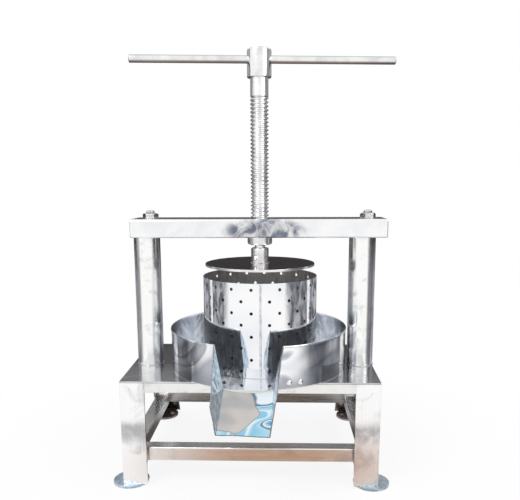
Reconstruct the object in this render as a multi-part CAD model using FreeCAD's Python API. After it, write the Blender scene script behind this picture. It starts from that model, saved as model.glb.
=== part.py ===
import FreeCAD, Part
import math
import os

os.makedirs("parts", exist_ok=True)

# Bench screw press for coconut milk. Millimetres, Z up, -Y faces the user.
# The origin is the centre of the bolt pattern of the four feet, on the floor.

# Foot bolts: the pattern that fixes the press to a bench
BOLT_SPAN_X = 376.0
BOLT_SPAN_Y = 303.0
BOLT_HOLE_D = 9.0

# Feet
FOOT_R = 30.5
FOOT_T = 4.0
FOOT_OUTWARD = 18.0        # disc centre outside its bolt hole

# Table
TABLE_W = 430.0
TABLE_TOP = 185.0
TABLE_T = 3.0
TABLE_FRONT = -172.0
TABLE_REAR = 69.5
SKIRT_H = 16.0
SKIRT_T = 4.0

# Legs of angle section; the rear pair leans back
LEG_FLANGE = 41.0
LEG_T = 4.0
REAR_LEAN = 30.0           # degrees from upright

# Lower stretchers of square tube
STRETCHER = 24.0
STRETCHER_WALL = 2.0
STRETCHER_Z = 41.0
STRETCHER_SETBACK = 12.0   # front one, behind the front face of the legs
REAR_RISE = 5.0            # how much higher the rear one sits

# Cross bearer under the table, which takes the pull of the tie rods
BEARER_W = 50.0
BEARER_H = 30.0
BEARER_WALL = 3.0

# Screw axis, and the small sideways offsets of the hand-built head
SCREW_X = 14.5
SCREW_Y = -59.5
HEAD_X = 12.5
COLUMN_X = 4.5

# Columns and tie rods
COLUMN_SPAN = 378.0
COLUMN_D = 46.0
COLUMN_WALL = 2.0
ROD_D = 16.0
ROD_HOLE_D = 16.6
ROD_TIP = 5.5              # thread that shows above the top nut
NUT_FLATS = 24.0
NUT_H = 8.5
WASHER_D = 30.0
WASHER_T = 3.0

# Crosshead
BEAM_Z = 414.0
BEAM_OVERHANG = 30.0       # beyond each tie rod
BEAM_W = 70.0
BEAM_H = 32.0
BEAM_WALL = 3.0
BEAM_ROUND = 4.0
CAP_T = 3.0

# Screw and the fixed nut it runs in
THREAD_D = 30.8
THREAD_PLAY = 0.1          # on the radius
BOSS_D = 43.0
BOSS_DROP = 14.0           # how far the nut reaches below the crosshead
NECK_D = 18.0
GROOVE_D = 13.0
GROOVE_H = 8.0

# Hub and handle bar
HUB_Z = 679.0
HUB_D = 41.0
HUB_H = 46.0
HUB_SPIGOT_D = 20.0
HUB_SPIGOT_H = 14.0
BAR_D = 13.0
BAR_PLAY = 0.05            # on the radius
BAR_L = 445.0
BAR_Z = 708.0
BAR_OFFSET = 7.5           # bar centre beyond the hub, to the right
HANDLE_TURN = 5.0          # degrees, the way the handle was left

# Press plate and the collar that holds the screw's end
PLATE_PLAY = 2.7           # on the radius, inside the basket
PLATE_T = 4.0
COLLAR_DROP = 5.5          # from the screw nut down to the collar, screw up
COLLAR_D = 30.8
COLLAR_H = 26.5
COLLAR_FLOOR = 4.0
COLLAR_PLAY = 0.08         # on the radius, around the neck
PIN_D = 5.0
PIN_HEAD_D = 10.0
PIN_HEAD_T = 3.2
PIN_RISE = 10.0            # above the press plate
PIN_ANGLES = (241.0, 61.0)
PIN_CLEAR = 0.4            # between pin tip and groove floor

# Loose bowl with its pouring spout
REST_GAP = 0.3             # between loose pieces that rest on each other
BOWL_X = 11.5
BOWL_R = 155.0
BOWL_H = 70.5
BOWL_T = 1.2
RIM_R = 1.5
SPOUT_TURN = 4.3           # degrees to the left, as the bowl stands
SPOUT_REACH = 68.0         # beyond the bowl's wall
SPOUT_LIP_Z = 140.0
SPOUT_LIP_H = 43.5
SPOUT_T = 1.5
SPOUT_INSET = 8.0          # how far its floor starts inside the bowl's wall
SPOUT_ROOT_W = 86.0
SPOUT_MOUTH_W = 108.0      # opening in the bowl wall at the rim
SPOUT_LIP_W = 84.0
SPOUT_LIP_TOP_W = 94.0

# Perforated basket
BASKET_R = 100.0
BASKET_WALL = 1.5
BASKET_TOP = 346.0
HOLE_D = 5.0
HOLE_SIDES = 6
HOLE_ROWS = 8
HOLES_PER_ROW = 18
ROW_STEP = 19.5
FIRST_ROW_DROP = 10.5
SEAM_ANGLE = 2.0           # degrees right of the front
SEAM_GAP = 27.0            # degrees left free of holes at the seam

# Sizes that follow from the ones above
Z_AXIS = FreeCAD.Vector(0, 0, 1)
UNDER_TABLE = TABLE_TOP - TABLE_T
LEAN_RUN = math.tan(math.radians(REAR_LEAN))
SIDE_X = TABLE_W / 2
BEAM_TOP = BEAM_Z + BEAM_H
BEAM_L = COLUMN_SPAN + 2 * BEAM_OVERHANG
BEARER_Z = UNDER_TABLE - BEARER_H
BOSS_Z = BEAM_Z - BOSS_DROP
COLLAR_TOP = BOSS_Z - COLLAR_DROP
PLATE_TOP = COLLAR_TOP - COLLAR_H
THREAD_Z = BOSS_Z + 2.0
BOWL_Z = TABLE_TOP + REST_GAP
BOWL_RIM_Z = BOWL_Z + BOWL_H
BASKET_Z = BOWL_Z + BOWL_T + REST_GAP
SPOUT_ROOT_Y = SPOUT_INSET - BOWL_R
SPOUT_LIP_Y = -BOWL_R - SPOUT_REACH
PLATE_R = BASKET_R - BASKET_WALL - PLATE_PLAY
SIDES = {"left": -1, "right": 1}


def vec(x, y, z):
    """Short name for a vector."""
    return FreeCAD.Vector(x, y, z)


def box(x0, x1, y0, y1, z0, z1):
    """Box between two corners, given as ranges per axis."""
    return Part.makeBox(x1 - x0, y1 - y0, z1 - z0, vec(x0, y0, z0))


def rod(diameter, z0, z1, x=0.0, y=0.0):
    """Upright cylinder."""
    return Part.makeCylinder(diameter / 2, z1 - z0, vec(x, y, z0))


def revolved(points, x, y):
    """Solid turned about an upright axis from (radius, height) points."""
    wire = Part.makePolygon([vec(r, 0, z) for r, z in points + points[:1]])
    solid = Part.Face(wire).revolve(vec(0, 0, 0), Z_AXIS, 360)
    solid.translate(vec(x, y, 0))
    return solid


def prism(points, z0, run):
    """Polygon in the level z0, extruded along the vector run."""
    wire = Part.makePolygon([vec(x, y, z0) for x, y in points + points[:1]])
    return Part.Face(wire).extrude(run)


def square_tube(outer, wall, axis):
    """Hollow a box along one axis (0 is X, 1 is Y)."""
    b = outer.BoundBox
    low, high = [b.XMin, b.YMin, b.ZMin], [b.XMax, b.YMax, b.ZMax]
    for i in range(3):
        if i != axis:
            low[i] += wall
            high[i] -= wall
    return outer.cut(box(low[0], high[0], low[1], high[1], low[2], high[2]))


def save(name, shape):
    """Write one piece as its own file."""
    shape = shape.removeSplitter()
    solids = shape.Solids
    (solids[0] if len(solids) == 1 else shape).exportStep("parts/" + name + ".step")


def rear_plane(z):
    """Depth of the rear face of the leaning legs at height z."""
    return TABLE_REAR + (TABLE_TOP - z) * LEAN_RUN


def angle_section(side, y_face, inward, depth, web):
    """Level outline of a leg: one flange across, one flange along the side.

    side is -1 or 1, y_face the outer face across, inward the direction of the
    side flange, depth its length and web the thickness of the cross flange.
    """
    outer, inner = side * SIDE_X, side * (SIDE_X - LEG_FLANGE)
    step = side * (SIDE_X - LEG_T)
    return [(outer, y_face), (inner, y_face), (inner, y_face + inward * web),
            (step, y_face + inward * web), (step, y_face + inward * depth),
            (outer, y_face + inward * depth)]


def make_front_leg(side):
    """Upright angle leg at the front."""
    outline = angle_section(side, TABLE_FRONT, 1, LEG_FLANGE, LEG_T)
    return prism(outline, FOOT_T, vec(0, 0, UNDER_TABLE - FOOT_T))


def make_rear_leg(side):
    """Leaning angle leg; its level section is stretched by the lean."""
    stretch = 1 / math.cos(math.radians(REAR_LEAN))
    outline = angle_section(side, rear_plane(FOOT_T), -1, LEG_FLANGE * stretch, LEG_T * stretch)
    rise = UNDER_TABLE - FOOT_T
    return prism(outline, FOOT_T, vec(0, -rise * LEAN_RUN, rise))


def make_foot(side, end):
    """Round foot plate with its bolt hole; end is -1 at the front, 1 at the rear."""
    hole_x, y = side * BOLT_SPAN_X / 2, end * BOLT_SPAN_Y / 2
    foot = rod(2 * FOOT_R, 0, FOOT_T, hole_x + side * FOOT_OUTWARD, y)
    foot = foot.makeChamfer(0.8, [e for e in foot.Edges if e.BoundBox.ZMin > FOOT_T / 2])
    return foot.cut(rod(BOLT_HOLE_D, 0, FOOT_T, hole_x, y))


def make_top_plate():
    """Flat top with the two holes for the tie rods."""
    plate = box(-SIDE_X, SIDE_X, TABLE_FRONT, TABLE_REAR, UNDER_TABLE, TABLE_TOP)
    for side in SIDES.values():
        plate = plate.cut(rod(ROD_HOLE_D, UNDER_TABLE, TABLE_TOP, rod_x(side), SCREW_Y))
    return plate


def make_skirt(place):
    """Flat bar that closes the edge of the table between two legs."""
    z0, gap = UNDER_TABLE - SKIRT_H, SIDE_X - LEG_FLANGE
    if place == "front":
        return box(-gap, gap, TABLE_FRONT, TABLE_FRONT + SKIRT_T, z0, UNDER_TABLE)
    if place == "rear":
        return box(-gap, gap, TABLE_REAR - SKIRT_T, TABLE_REAR, z0, UNDER_TABLE)
    side = SIDES[place]
    x0, x1 = sorted((side * (SIDE_X - SKIRT_T), side * SIDE_X))
    bar = box(x0, x1, TABLE_FRONT + LEG_FLANGE, rear_plane(z0), z0, UNDER_TABLE)
    front_edge = rear_plane(z0) - LEG_FLANGE / math.cos(math.radians(REAR_LEAN))
    back_edge = front_edge + TABLE_REAR - TABLE_FRONT
    block = prism([(x0, front_edge), (x1, front_edge), (x1, back_edge), (x0, back_edge)],
                  z0, vec(0, -SKIRT_H * LEAN_RUN, SKIRT_H))
    return bar.cut(block)


def make_stretcher(place):
    """Square tube low between the legs."""
    z0, z1 = STRETCHER_Z, STRETCHER_Z + STRETCHER
    reach = SIDE_X - LEG_T
    front = TABLE_FRONT + STRETCHER_SETBACK
    rear = rear_plane(z1 + REAR_RISE) - LEG_T / math.cos(math.radians(REAR_LEAN)) - STRETCHER
    if place == "front":
        return square_tube(box(-reach, reach, front, front + STRETCHER, z0, z1), STRETCHER_WALL, 0)
    if place == "rear":
        return square_tube(box(-reach, reach, rear, rear + STRETCHER, z0 + REAR_RISE, z1 + REAR_RISE),
                           STRETCHER_WALL, 0)
    x0, x1 = sorted((SIDES[place] * (reach - STRETCHER), SIDES[place] * reach))
    return square_tube(box(x0, x1, front + STRETCHER, rear, z0, z1), STRETCHER_WALL, 1)


def make_bearer():
    """Tube across the table, under the columns."""
    reach = SIDE_X - SKIRT_T
    y0, y1 = SCREW_Y - BEARER_W / 2, SCREW_Y + BEARER_W / 2
    bearer = square_tube(box(-reach, reach, y0, y1, BEARER_Z, UNDER_TABLE), BEARER_WALL, 0)
    for side in SIDES.values():
        bearer = bearer.cut(rod(ROD_HOLE_D, BEARER_Z, UNDER_TABLE, rod_x(side), SCREW_Y))
    return bearer


def rod_x(side):
    """Sideways place of a tie rod."""
    return HEAD_X + side * COLUMN_SPAN / 2


def make_column(side):
    """Tube that keeps the crosshead off the table."""
    x = COLUMN_X + side * COLUMN_SPAN / 2
    tube = rod(COLUMN_D, TABLE_TOP, BEAM_Z, x, SCREW_Y)
    return tube.cut(rod(COLUMN_D - 2 * COLUMN_WALL, TABLE_TOP, BEAM_Z, x, SCREW_Y))


def make_tie_rod(side):
    """Rod inside a column, bolted above the crosshead and under the bearer."""
    low = BEARER_Z - WASHER_T - NUT_H - ROD_TIP
    shape = rod(ROD_D, low, BEAM_TOP + NUT_H + ROD_TIP, rod_x(side), SCREW_Y)
    return shape.makeChamfer(1.5, [e for e in shape.Edges if e.BoundBox.ZLength < 0.1])


def make_nut(side, z0):
    """Hexagon nut with its corners turned off."""
    corner = NUT_FLATS / 2 / math.cos(math.radians(30))
    points = [(corner * math.cos(math.radians(60 * k)), corner * math.sin(math.radians(60 * k)))
              for k in range(6)]
    nut = prism(points, z0, vec(0, 0, NUT_H))
    turned = rod(2 * corner, z0, z0 + NUT_H)
    turned = turned.makeChamfer(1.4, [e for e in turned.Edges if e.BoundBox.ZLength < 0.1])
    nut = nut.common(turned).cut(rod(ROD_D, z0, z0 + NUT_H))
    nut.translate(vec(rod_x(side), SCREW_Y, 0))
    return nut


def make_washer(side):
    """Plain washer under the bearer."""
    z0 = BEARER_Z - WASHER_T
    return rod(WASHER_D, z0, BEARER_Z, rod_x(side), SCREW_Y).cut(
        rod(ROD_D, z0, BEARER_Z, rod_x(side), SCREW_Y))


def beam_block(x0, x1):
    """Length of the rounded outer section of the crosshead."""
    block = box(x0, x1, SCREW_Y - BEAM_W / 2, SCREW_Y + BEAM_W / 2, BEAM_Z, BEAM_TOP)
    return block.makeFillet(BEAM_ROUND, [e for e in block.Edges if e.BoundBox.XLength > 1
                                         and e.BoundBox.YLength < 0.1])


def make_crosshead():
    """Hollow beam with holes for the tie rods and the screw nut."""
    half = BEAM_L / 2 - CAP_T
    beam = beam_block(HEAD_X - half, HEAD_X + half)
    beam = beam.cut(box(HEAD_X - half, HEAD_X + half, SCREW_Y - BEAM_W / 2 + BEAM_WALL,
                        SCREW_Y + BEAM_W / 2 - BEAM_WALL, BEAM_Z + BEAM_WALL, BEAM_TOP - BEAM_WALL))
    for side in SIDES.values():
        beam = beam.cut(rod(ROD_HOLE_D, BEAM_Z, BEAM_TOP, rod_x(side), SCREW_Y))
    return beam.cut(rod(BOSS_D, BEAM_Z, BEAM_TOP, SCREW_X, SCREW_Y))


def make_cap(side):
    """Plate that closes one end of the crosshead."""
    x0, x1 = sorted((HEAD_X + side * (BEAM_L / 2 - CAP_T), HEAD_X + side * BEAM_L / 2))
    return beam_block(x0, x1)


def make_screw_nut():
    """Long nut welded through the crosshead."""
    bore, outer, bevel = THREAD_D / 2 + THREAD_PLAY, BOSS_D / 2, 3.0
    return revolved([(bore, BOSS_Z), (outer - bevel, BOSS_Z), (outer, BOSS_Z + bevel),
                     (outer, BEAM_TOP), (bore, BEAM_TOP)], SCREW_X, SCREW_Y)


def make_spindle():
    """Press screw with the grooved neck below and the spigot for the hub above."""
    neck, groove, body = NECK_D / 2, GROOVE_D / 2, THREAD_D / 2
    tip = PLATE_TOP + COLLAR_FLOOR + REST_GAP
    mid = PLATE_TOP + PIN_RISE
    points = [(0, tip), (neck - 1, tip), (neck, tip + 1), (neck, mid - GROOVE_H / 2),
              (groove, mid - GROOVE_H / 2), (groove, mid + GROOVE_H / 2), (neck, mid + GROOVE_H / 2),
              (neck, THREAD_Z), (body - 2, THREAD_Z), (body, THREAD_Z + 2), (body, HUB_Z),
              (HUB_SPIGOT_D / 2, HUB_Z), (HUB_SPIGOT_D / 2, HUB_Z + HUB_SPIGOT_H),
              (0, HUB_Z + HUB_SPIGOT_H)]
    return revolved(points, SCREW_X, SCREW_Y)


def bar_cylinder(diameter, length, offset):
    """Level cylinder along the handle, about the screw axis."""
    turn = math.radians(HANDLE_TURN)
    along = vec(math.cos(turn), math.sin(turn), 0)
    start = vec(SCREW_X, SCREW_Y, BAR_Z) + along * (offset - length / 2)
    return Part.makeCylinder(diameter / 2, length, start, along)


def make_hub():
    """Turned hub with the cross hole for the handle."""
    outer, bevel, top = HUB_D / 2, 3.0, HUB_Z + HUB_H
    spigot, depth = HUB_SPIGOT_D / 2, HUB_Z + HUB_SPIGOT_H
    hub = revolved([(spigot, HUB_Z), (outer - 1, HUB_Z), (outer, HUB_Z + 1), (outer, top - bevel),
                    (outer - bevel, top), (0, top), (0, depth), (spigot, depth)], SCREW_X, SCREW_Y)
    return hub.cut(bar_cylinder(BAR_D + 2 * BAR_PLAY, 2 * HUB_D, 0))


def make_handle_bar():
    """Plain round bar that slides in the hub."""
    bar = bar_cylinder(BAR_D, BAR_L, BAR_OFFSET)
    ends = [e for e in bar.Edges if e.Length < math.pi * BAR_D + 1 and len(e.Vertexes) == 1]
    return bar.makeChamfer(1.0, ends)


def make_press_plate():
    """Round plate that enters the basket."""
    low, bevel = PLATE_TOP - PLATE_T, 0.6
    return revolved([(0, low), (PLATE_R - bevel, low), (PLATE_R, low + bevel),
                     (PLATE_R, PLATE_TOP - bevel), (PLATE_R - bevel, PLATE_TOP), (0, PLATE_TOP)],
                    SCREW_X, SCREW_Y)


def pin_cylinder(angle, diameter, r0, r1):
    """Level cylinder that points at the screw axis, between two radii."""
    out = vec(math.cos(math.radians(angle)), math.sin(math.radians(angle)), 0)
    middle = vec(SCREW_X, SCREW_Y, PLATE_TOP + PIN_RISE)
    return Part.makeCylinder(diameter / 2, r1 - r0, middle + out * r0, out)


def make_collar():
    """Collar on the press plate that keeps the screw's neck."""
    bore, outer, floor = NECK_D / 2 + COLLAR_PLAY, COLLAR_D / 2, PLATE_TOP + COLLAR_FLOOR
    collar = revolved([(0, PLATE_TOP), (outer, PLATE_TOP), (outer, COLLAR_TOP - 2),
                       (outer - 2, COLLAR_TOP), (bore, COLLAR_TOP), (bore, floor), (0, floor)],
                      SCREW_X, SCREW_Y)
    for angle in PIN_ANGLES:
        collar = collar.cut(pin_cylinder(angle, PIN_D, 0, COLLAR_D))
    return collar


def make_retaining_screw(angle):
    """Round-head screw whose tip stands in the groove of the neck."""
    outer = COLLAR_D / 2
    shank = pin_cylinder(angle, PIN_D, GROOVE_D / 2 + PIN_CLEAR, outer + 1)
    head = pin_cylinder(angle, PIN_HEAD_D, outer - 0.9, outer + PIN_HEAD_T)
    head = head.makeChamfer(1.4, [max(head.Edges, key=lambda e: math.hypot(
        e.CenterOfMass.x - SCREW_X, e.CenterOfMass.y - SCREW_Y))])
    return shank.fuse(head).cut(rod(COLLAR_D, PLATE_TOP, COLLAR_TOP, SCREW_X, SCREW_Y)).fuse(shank)


def place_spout(shape):
    """Move a shape from the bowl's own frame, spout to -Y, to its place."""
    shape.rotate(vec(0, 0, 0), Z_AXIS, -SPOUT_TURN)
    shape.translate(vec(BOWL_X, SCREW_Y, 0))
    return shape


def spout_outline(y, floor_w, top_w, floor_z, top_z):
    """Four corners of the trough's inside at one depth."""
    return [vec(-top_w / 2, y, top_z), vec(-floor_w / 2, y, floor_z),
            vec(floor_w / 2, y, floor_z), vec(top_w / 2, y, top_z)]


def spout_solid(grow):
    """Filled trough from inside the bowl to the lip, larger by grow below and aside."""
    root = spout_outline(SPOUT_ROOT_Y, SPOUT_ROOT_W + 2 * grow, SPOUT_MOUTH_W + 2 * grow,
                         BOWL_Z + BOWL_T - grow, BOWL_RIM_Z)
    lip = spout_outline(SPOUT_LIP_Y, SPOUT_LIP_W + 2 * grow, SPOUT_LIP_TOP_W + 2 * grow,
                        SPOUT_LIP_Z - grow, SPOUT_LIP_Z + SPOUT_LIP_H)
    wires = [Part.makePolygon(corners + corners[:1]) for corners in (root, lip)]
    return Part.makeLoft(wires, True, True)


def make_spout():
    """Open trough of folded sheet, trimmed to the round bowl."""
    trough = spout_solid(SPOUT_T).cut(spout_solid(0))
    return place_spout(trough.cut(rod(2 * BOWL_R, BOWL_Z, BOWL_RIM_Z + BOWL_H)))


def mouth_wedge():
    """Opening that the spout needs in the bowl wall."""
    flare = (SPOUT_MOUTH_W - SPOUT_ROOT_W) / (BOWL_RIM_Z - BOWL_Z - BOWL_T)
    top = BOWL_RIM_Z + 2 * RIM_R
    root = spout_outline(-BASKET_R, SPOUT_ROOT_W, SPOUT_ROOT_W + flare * (top - BOWL_Z - BOWL_T),
                         BOWL_Z + BOWL_T, top)
    out = [corner + vec(0, SPOUT_LIP_Y + BASKET_R, 0) for corner in root]
    wires = [Part.makePolygon(corners + corners[:1]) for corners in (root, out)]
    return Part.makeLoft(wires, True, True)


def make_bowl_wall():
    """Round wall with a rolled rim, open where the spout leaves."""
    low = BOWL_Z + BOWL_T
    wall = rod(2 * BOWL_R, low, BOWL_RIM_Z).cut(rod(2 * (BOWL_R - BOWL_T), low, BOWL_RIM_Z))
    centre_r, centre_z = BOWL_R - BOWL_T / 2, BOWL_RIM_Z - RIM_R
    bead = [(centre_r + RIM_R * math.cos(math.radians(60 * k + 30)),
             centre_z + RIM_R * math.sin(math.radians(60 * k + 30))) for k in range(6)]
    return place_spout(wall.fuse(revolved(bead, 0, 0)).cut(mouth_wedge()))


def make_bowl_floor():
    """Flat floor of the bowl."""
    return place_spout(rod(2 * BOWL_R, BOWL_Z, BOWL_Z + BOWL_T))


def hole_cutter(angle, z):
    """Small prism that points outward through the basket wall."""
    turn = math.radians(angle - 90)
    middle = vec(SCREW_X, SCREW_Y, z)
    out = vec(math.cos(turn), math.sin(turn), 0)
    across = vec(-math.sin(turn), math.cos(turn), 0)
    step = 2 * math.pi / HOLE_SIDES
    corners = [middle + out * (BASKET_R - 3 * BASKET_WALL)
               + across * (HOLE_D / 2 * math.cos((k + 0.5) * step))
               + Z_AXIS * (HOLE_D / 2 * math.sin((k + 0.5) * step)) for k in range(HOLE_SIDES)]
    return Part.Face(Part.makePolygon(corners + corners[:1])).extrude(out * 5 * BASKET_WALL)


def make_basket_wall():
    """Perforated shell; alternate rows are staggered, the seam stays plain."""
    wall = rod(2 * BASKET_R, BASKET_Z, BASKET_TOP, SCREW_X, SCREW_Y).cut(
        rod(2 * (BASKET_R - BASKET_WALL), BASKET_Z, BASKET_TOP, SCREW_X, SCREW_Y))
    pitch = (360.0 - SEAM_GAP) / (HOLES_PER_ROW - 1)
    cutters = []
    for row in range(HOLE_ROWS):
        start = SEAM_ANGLE + SEAM_GAP / 2 + (pitch / 2 if row % 2 == 0 else 0) - pitch / 4
        z = BASKET_TOP - FIRST_ROW_DROP - row * ROW_STEP
        cutters += [hole_cutter(start + k * pitch, z) for k in range(HOLES_PER_ROW)]
    return wall.cut(Part.makeCompound(cutters))


def make_basket_floor():
    """Flat floor inside the basket wall."""
    return rod(2 * (BASKET_R - BASKET_WALL), BASKET_Z, BASKET_Z + BASKET_WALL, SCREW_X, SCREW_Y)


def build_frame():
    """Table, legs, feet, columns and crosshead."""
    save("top_plate", make_top_plate())
    save("cross_bearer", make_bearer())
    for place in ("front", "rear", "left", "right"):
        save("skirt_" + place, make_skirt(place))
        save("stretcher_" + place, make_stretcher(place))
    for name, side in SIDES.items():
        save("leg_front_" + name, make_front_leg(side))
        save("leg_rear_" + name, make_rear_leg(side))
        save("foot_front_" + name, make_foot(side, -1))
        save("foot_rear_" + name, make_foot(side, 1))
        save("column_" + name, make_column(side))
        save("tie_rod_" + name, make_tie_rod(side))
        save("top_nut_" + name, make_nut(side, BEAM_TOP))
        save("lower_nut_" + name, make_nut(side, BEARER_Z - WASHER_T - NUT_H))
        save("lower_washer_" + name, make_washer(side))
        save("crosshead_cap_" + name, make_cap(side))
    save("crosshead", make_crosshead())
    save("screw_nut", make_screw_nut())


def build_press():
    """Press plate, screw, hub and handle."""
    save("press_plate", make_press_plate())
    save("thrust_collar", make_collar())
    for number, angle in enumerate(PIN_ANGLES, 1):
        save("retaining_screw_%d" % number, make_retaining_screw(angle))
    save("spindle", make_spindle())
    save("hub", make_hub())
    save("handle_bar", make_handle_bar())


def build_vessels():
    """Bowl with spout, and the basket that stands in it."""
    save("bowl_wall", make_bowl_wall())
    save("bowl_floor", make_bowl_floor())
    save("spout", make_spout())
    save("basket_wall", make_basket_wall())
    save("basket_floor", make_basket_floor())


build_frame()
build_press()
build_vessels()
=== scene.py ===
"""Studio scene of a hand screw press for coconut milk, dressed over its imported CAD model."""

import logging
import math
from collections.abc import Callable, Mapping, Sequence
from dataclasses import dataclass
from enum import Enum

import bmesh
import bpy
from mathutils import Matrix, Vector, noise


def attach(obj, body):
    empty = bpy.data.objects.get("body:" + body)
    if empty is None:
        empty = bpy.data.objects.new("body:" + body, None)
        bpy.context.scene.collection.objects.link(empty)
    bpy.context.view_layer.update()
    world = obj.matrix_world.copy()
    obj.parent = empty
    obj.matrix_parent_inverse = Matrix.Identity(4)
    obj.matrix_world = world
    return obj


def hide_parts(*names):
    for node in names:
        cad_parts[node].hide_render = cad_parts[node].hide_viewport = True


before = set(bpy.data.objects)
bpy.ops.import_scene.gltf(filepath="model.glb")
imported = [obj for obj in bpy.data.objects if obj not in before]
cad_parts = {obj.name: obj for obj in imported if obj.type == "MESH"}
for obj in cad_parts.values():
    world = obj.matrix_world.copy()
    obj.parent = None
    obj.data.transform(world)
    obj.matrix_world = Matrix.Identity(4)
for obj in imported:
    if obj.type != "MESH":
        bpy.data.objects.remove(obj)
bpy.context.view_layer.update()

LOG = logging.getLogger("press")

Socket = bpy.types.NodeSocket
Material = bpy.types.Material
Point = tuple[float, float]
Pair = tuple[float, float]
Place = tuple[float, float, float]

MM = 0.001
AXIS: Point = (14.5, -59.5)        # upright axis of the screw, the press plate and the basket, in mm
SMOOTH_BELOW = math.radians(32)    # faces that meet at less than this are shaded as one
ROUND_ABOVE = math.radians(40)     # edges of the CAD's pieces that turn by more than this are rounded
BEAD_STEP = 0.8                    # distance between the points of a weld bead, in mm
BEAD_RIPPLE = 0.14                 # how far a bead's ripples swing either way, over half its width

# Sockets of a colour Mix node
MIX_FACTOR, MIX_A, MIX_B, MIX_RESULT = 0, 6, 7, 2


class Grain(Enum):
    """Direction in which a steel surface was drawn, ground or turned."""

    ALONG_X = (1.0, 0.0, 0.0)
    ALONG_Y = (0.0, 1.0, 0.0)
    ALONG_Z = (0.0, 0.0, 1.0)


def srgb(code: str) -> tuple[float, float, float, float]:
    """Turn a colour written as sRGB hex into linear values.

    Args:
        code: The colour, such as "#c8ccd0".

    Returns:
        Linear red, green, blue and an alpha of 1.
    """
    parts = [int(code[i:i + 2], 16) / 255 for i in (1, 3, 5)]
    linear = [c / 12.92 if c <= 0.04045 else ((c + 0.055) / 1.055) ** 2.4 for c in parts]
    return (linear[0], linear[1], linear[2], 1.0)


def add_node(
    tree: bpy.types.NodeTree,
    kind: str,
    values: Mapping[str | int, object] | None = None,
    links: Mapping[str | int, Socket] | None = None,
    stops: Sequence[tuple[float, str]] = (),
    **settings: object,
) -> bpy.types.Node:
    """Add one node with its settings and links.

    Args:
        tree: The tree that gets the node.
        kind: The node's type name.
        values: Input values by name or index.
        links: Sockets to link into inputs, by name or index.
        stops: Places and sRGB colours of a colour ramp.
        **settings: Properties of the node itself.

    Returns:
        The new node.
    """
    node = tree.nodes.new(kind)
    for name, setting in settings.items():
        setattr(node, name, setting)
    for key, value in (values or {}).items():
        node.inputs[key].default_value = value
    for key, source in (links or {}).items():
        tree.links.new(source, node.inputs[key])
    if stops:
        ramp = node.color_ramp
        while len(ramp.elements) < len(stops):
            ramp.elements.new(1.0)
        for element, (place, code) in zip(ramp.elements, stops):
            element.position, element.color = place, srgb(code)
    return node


@dataclass(frozen=True)
class Layer:
    """A pattern stretched over a range of values: low up to its start level, high from its end level on."""

    pattern: Socket
    low: float = 0.0
    high: float = 1.0
    start: float = 0.3
    end: float = 0.7


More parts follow.
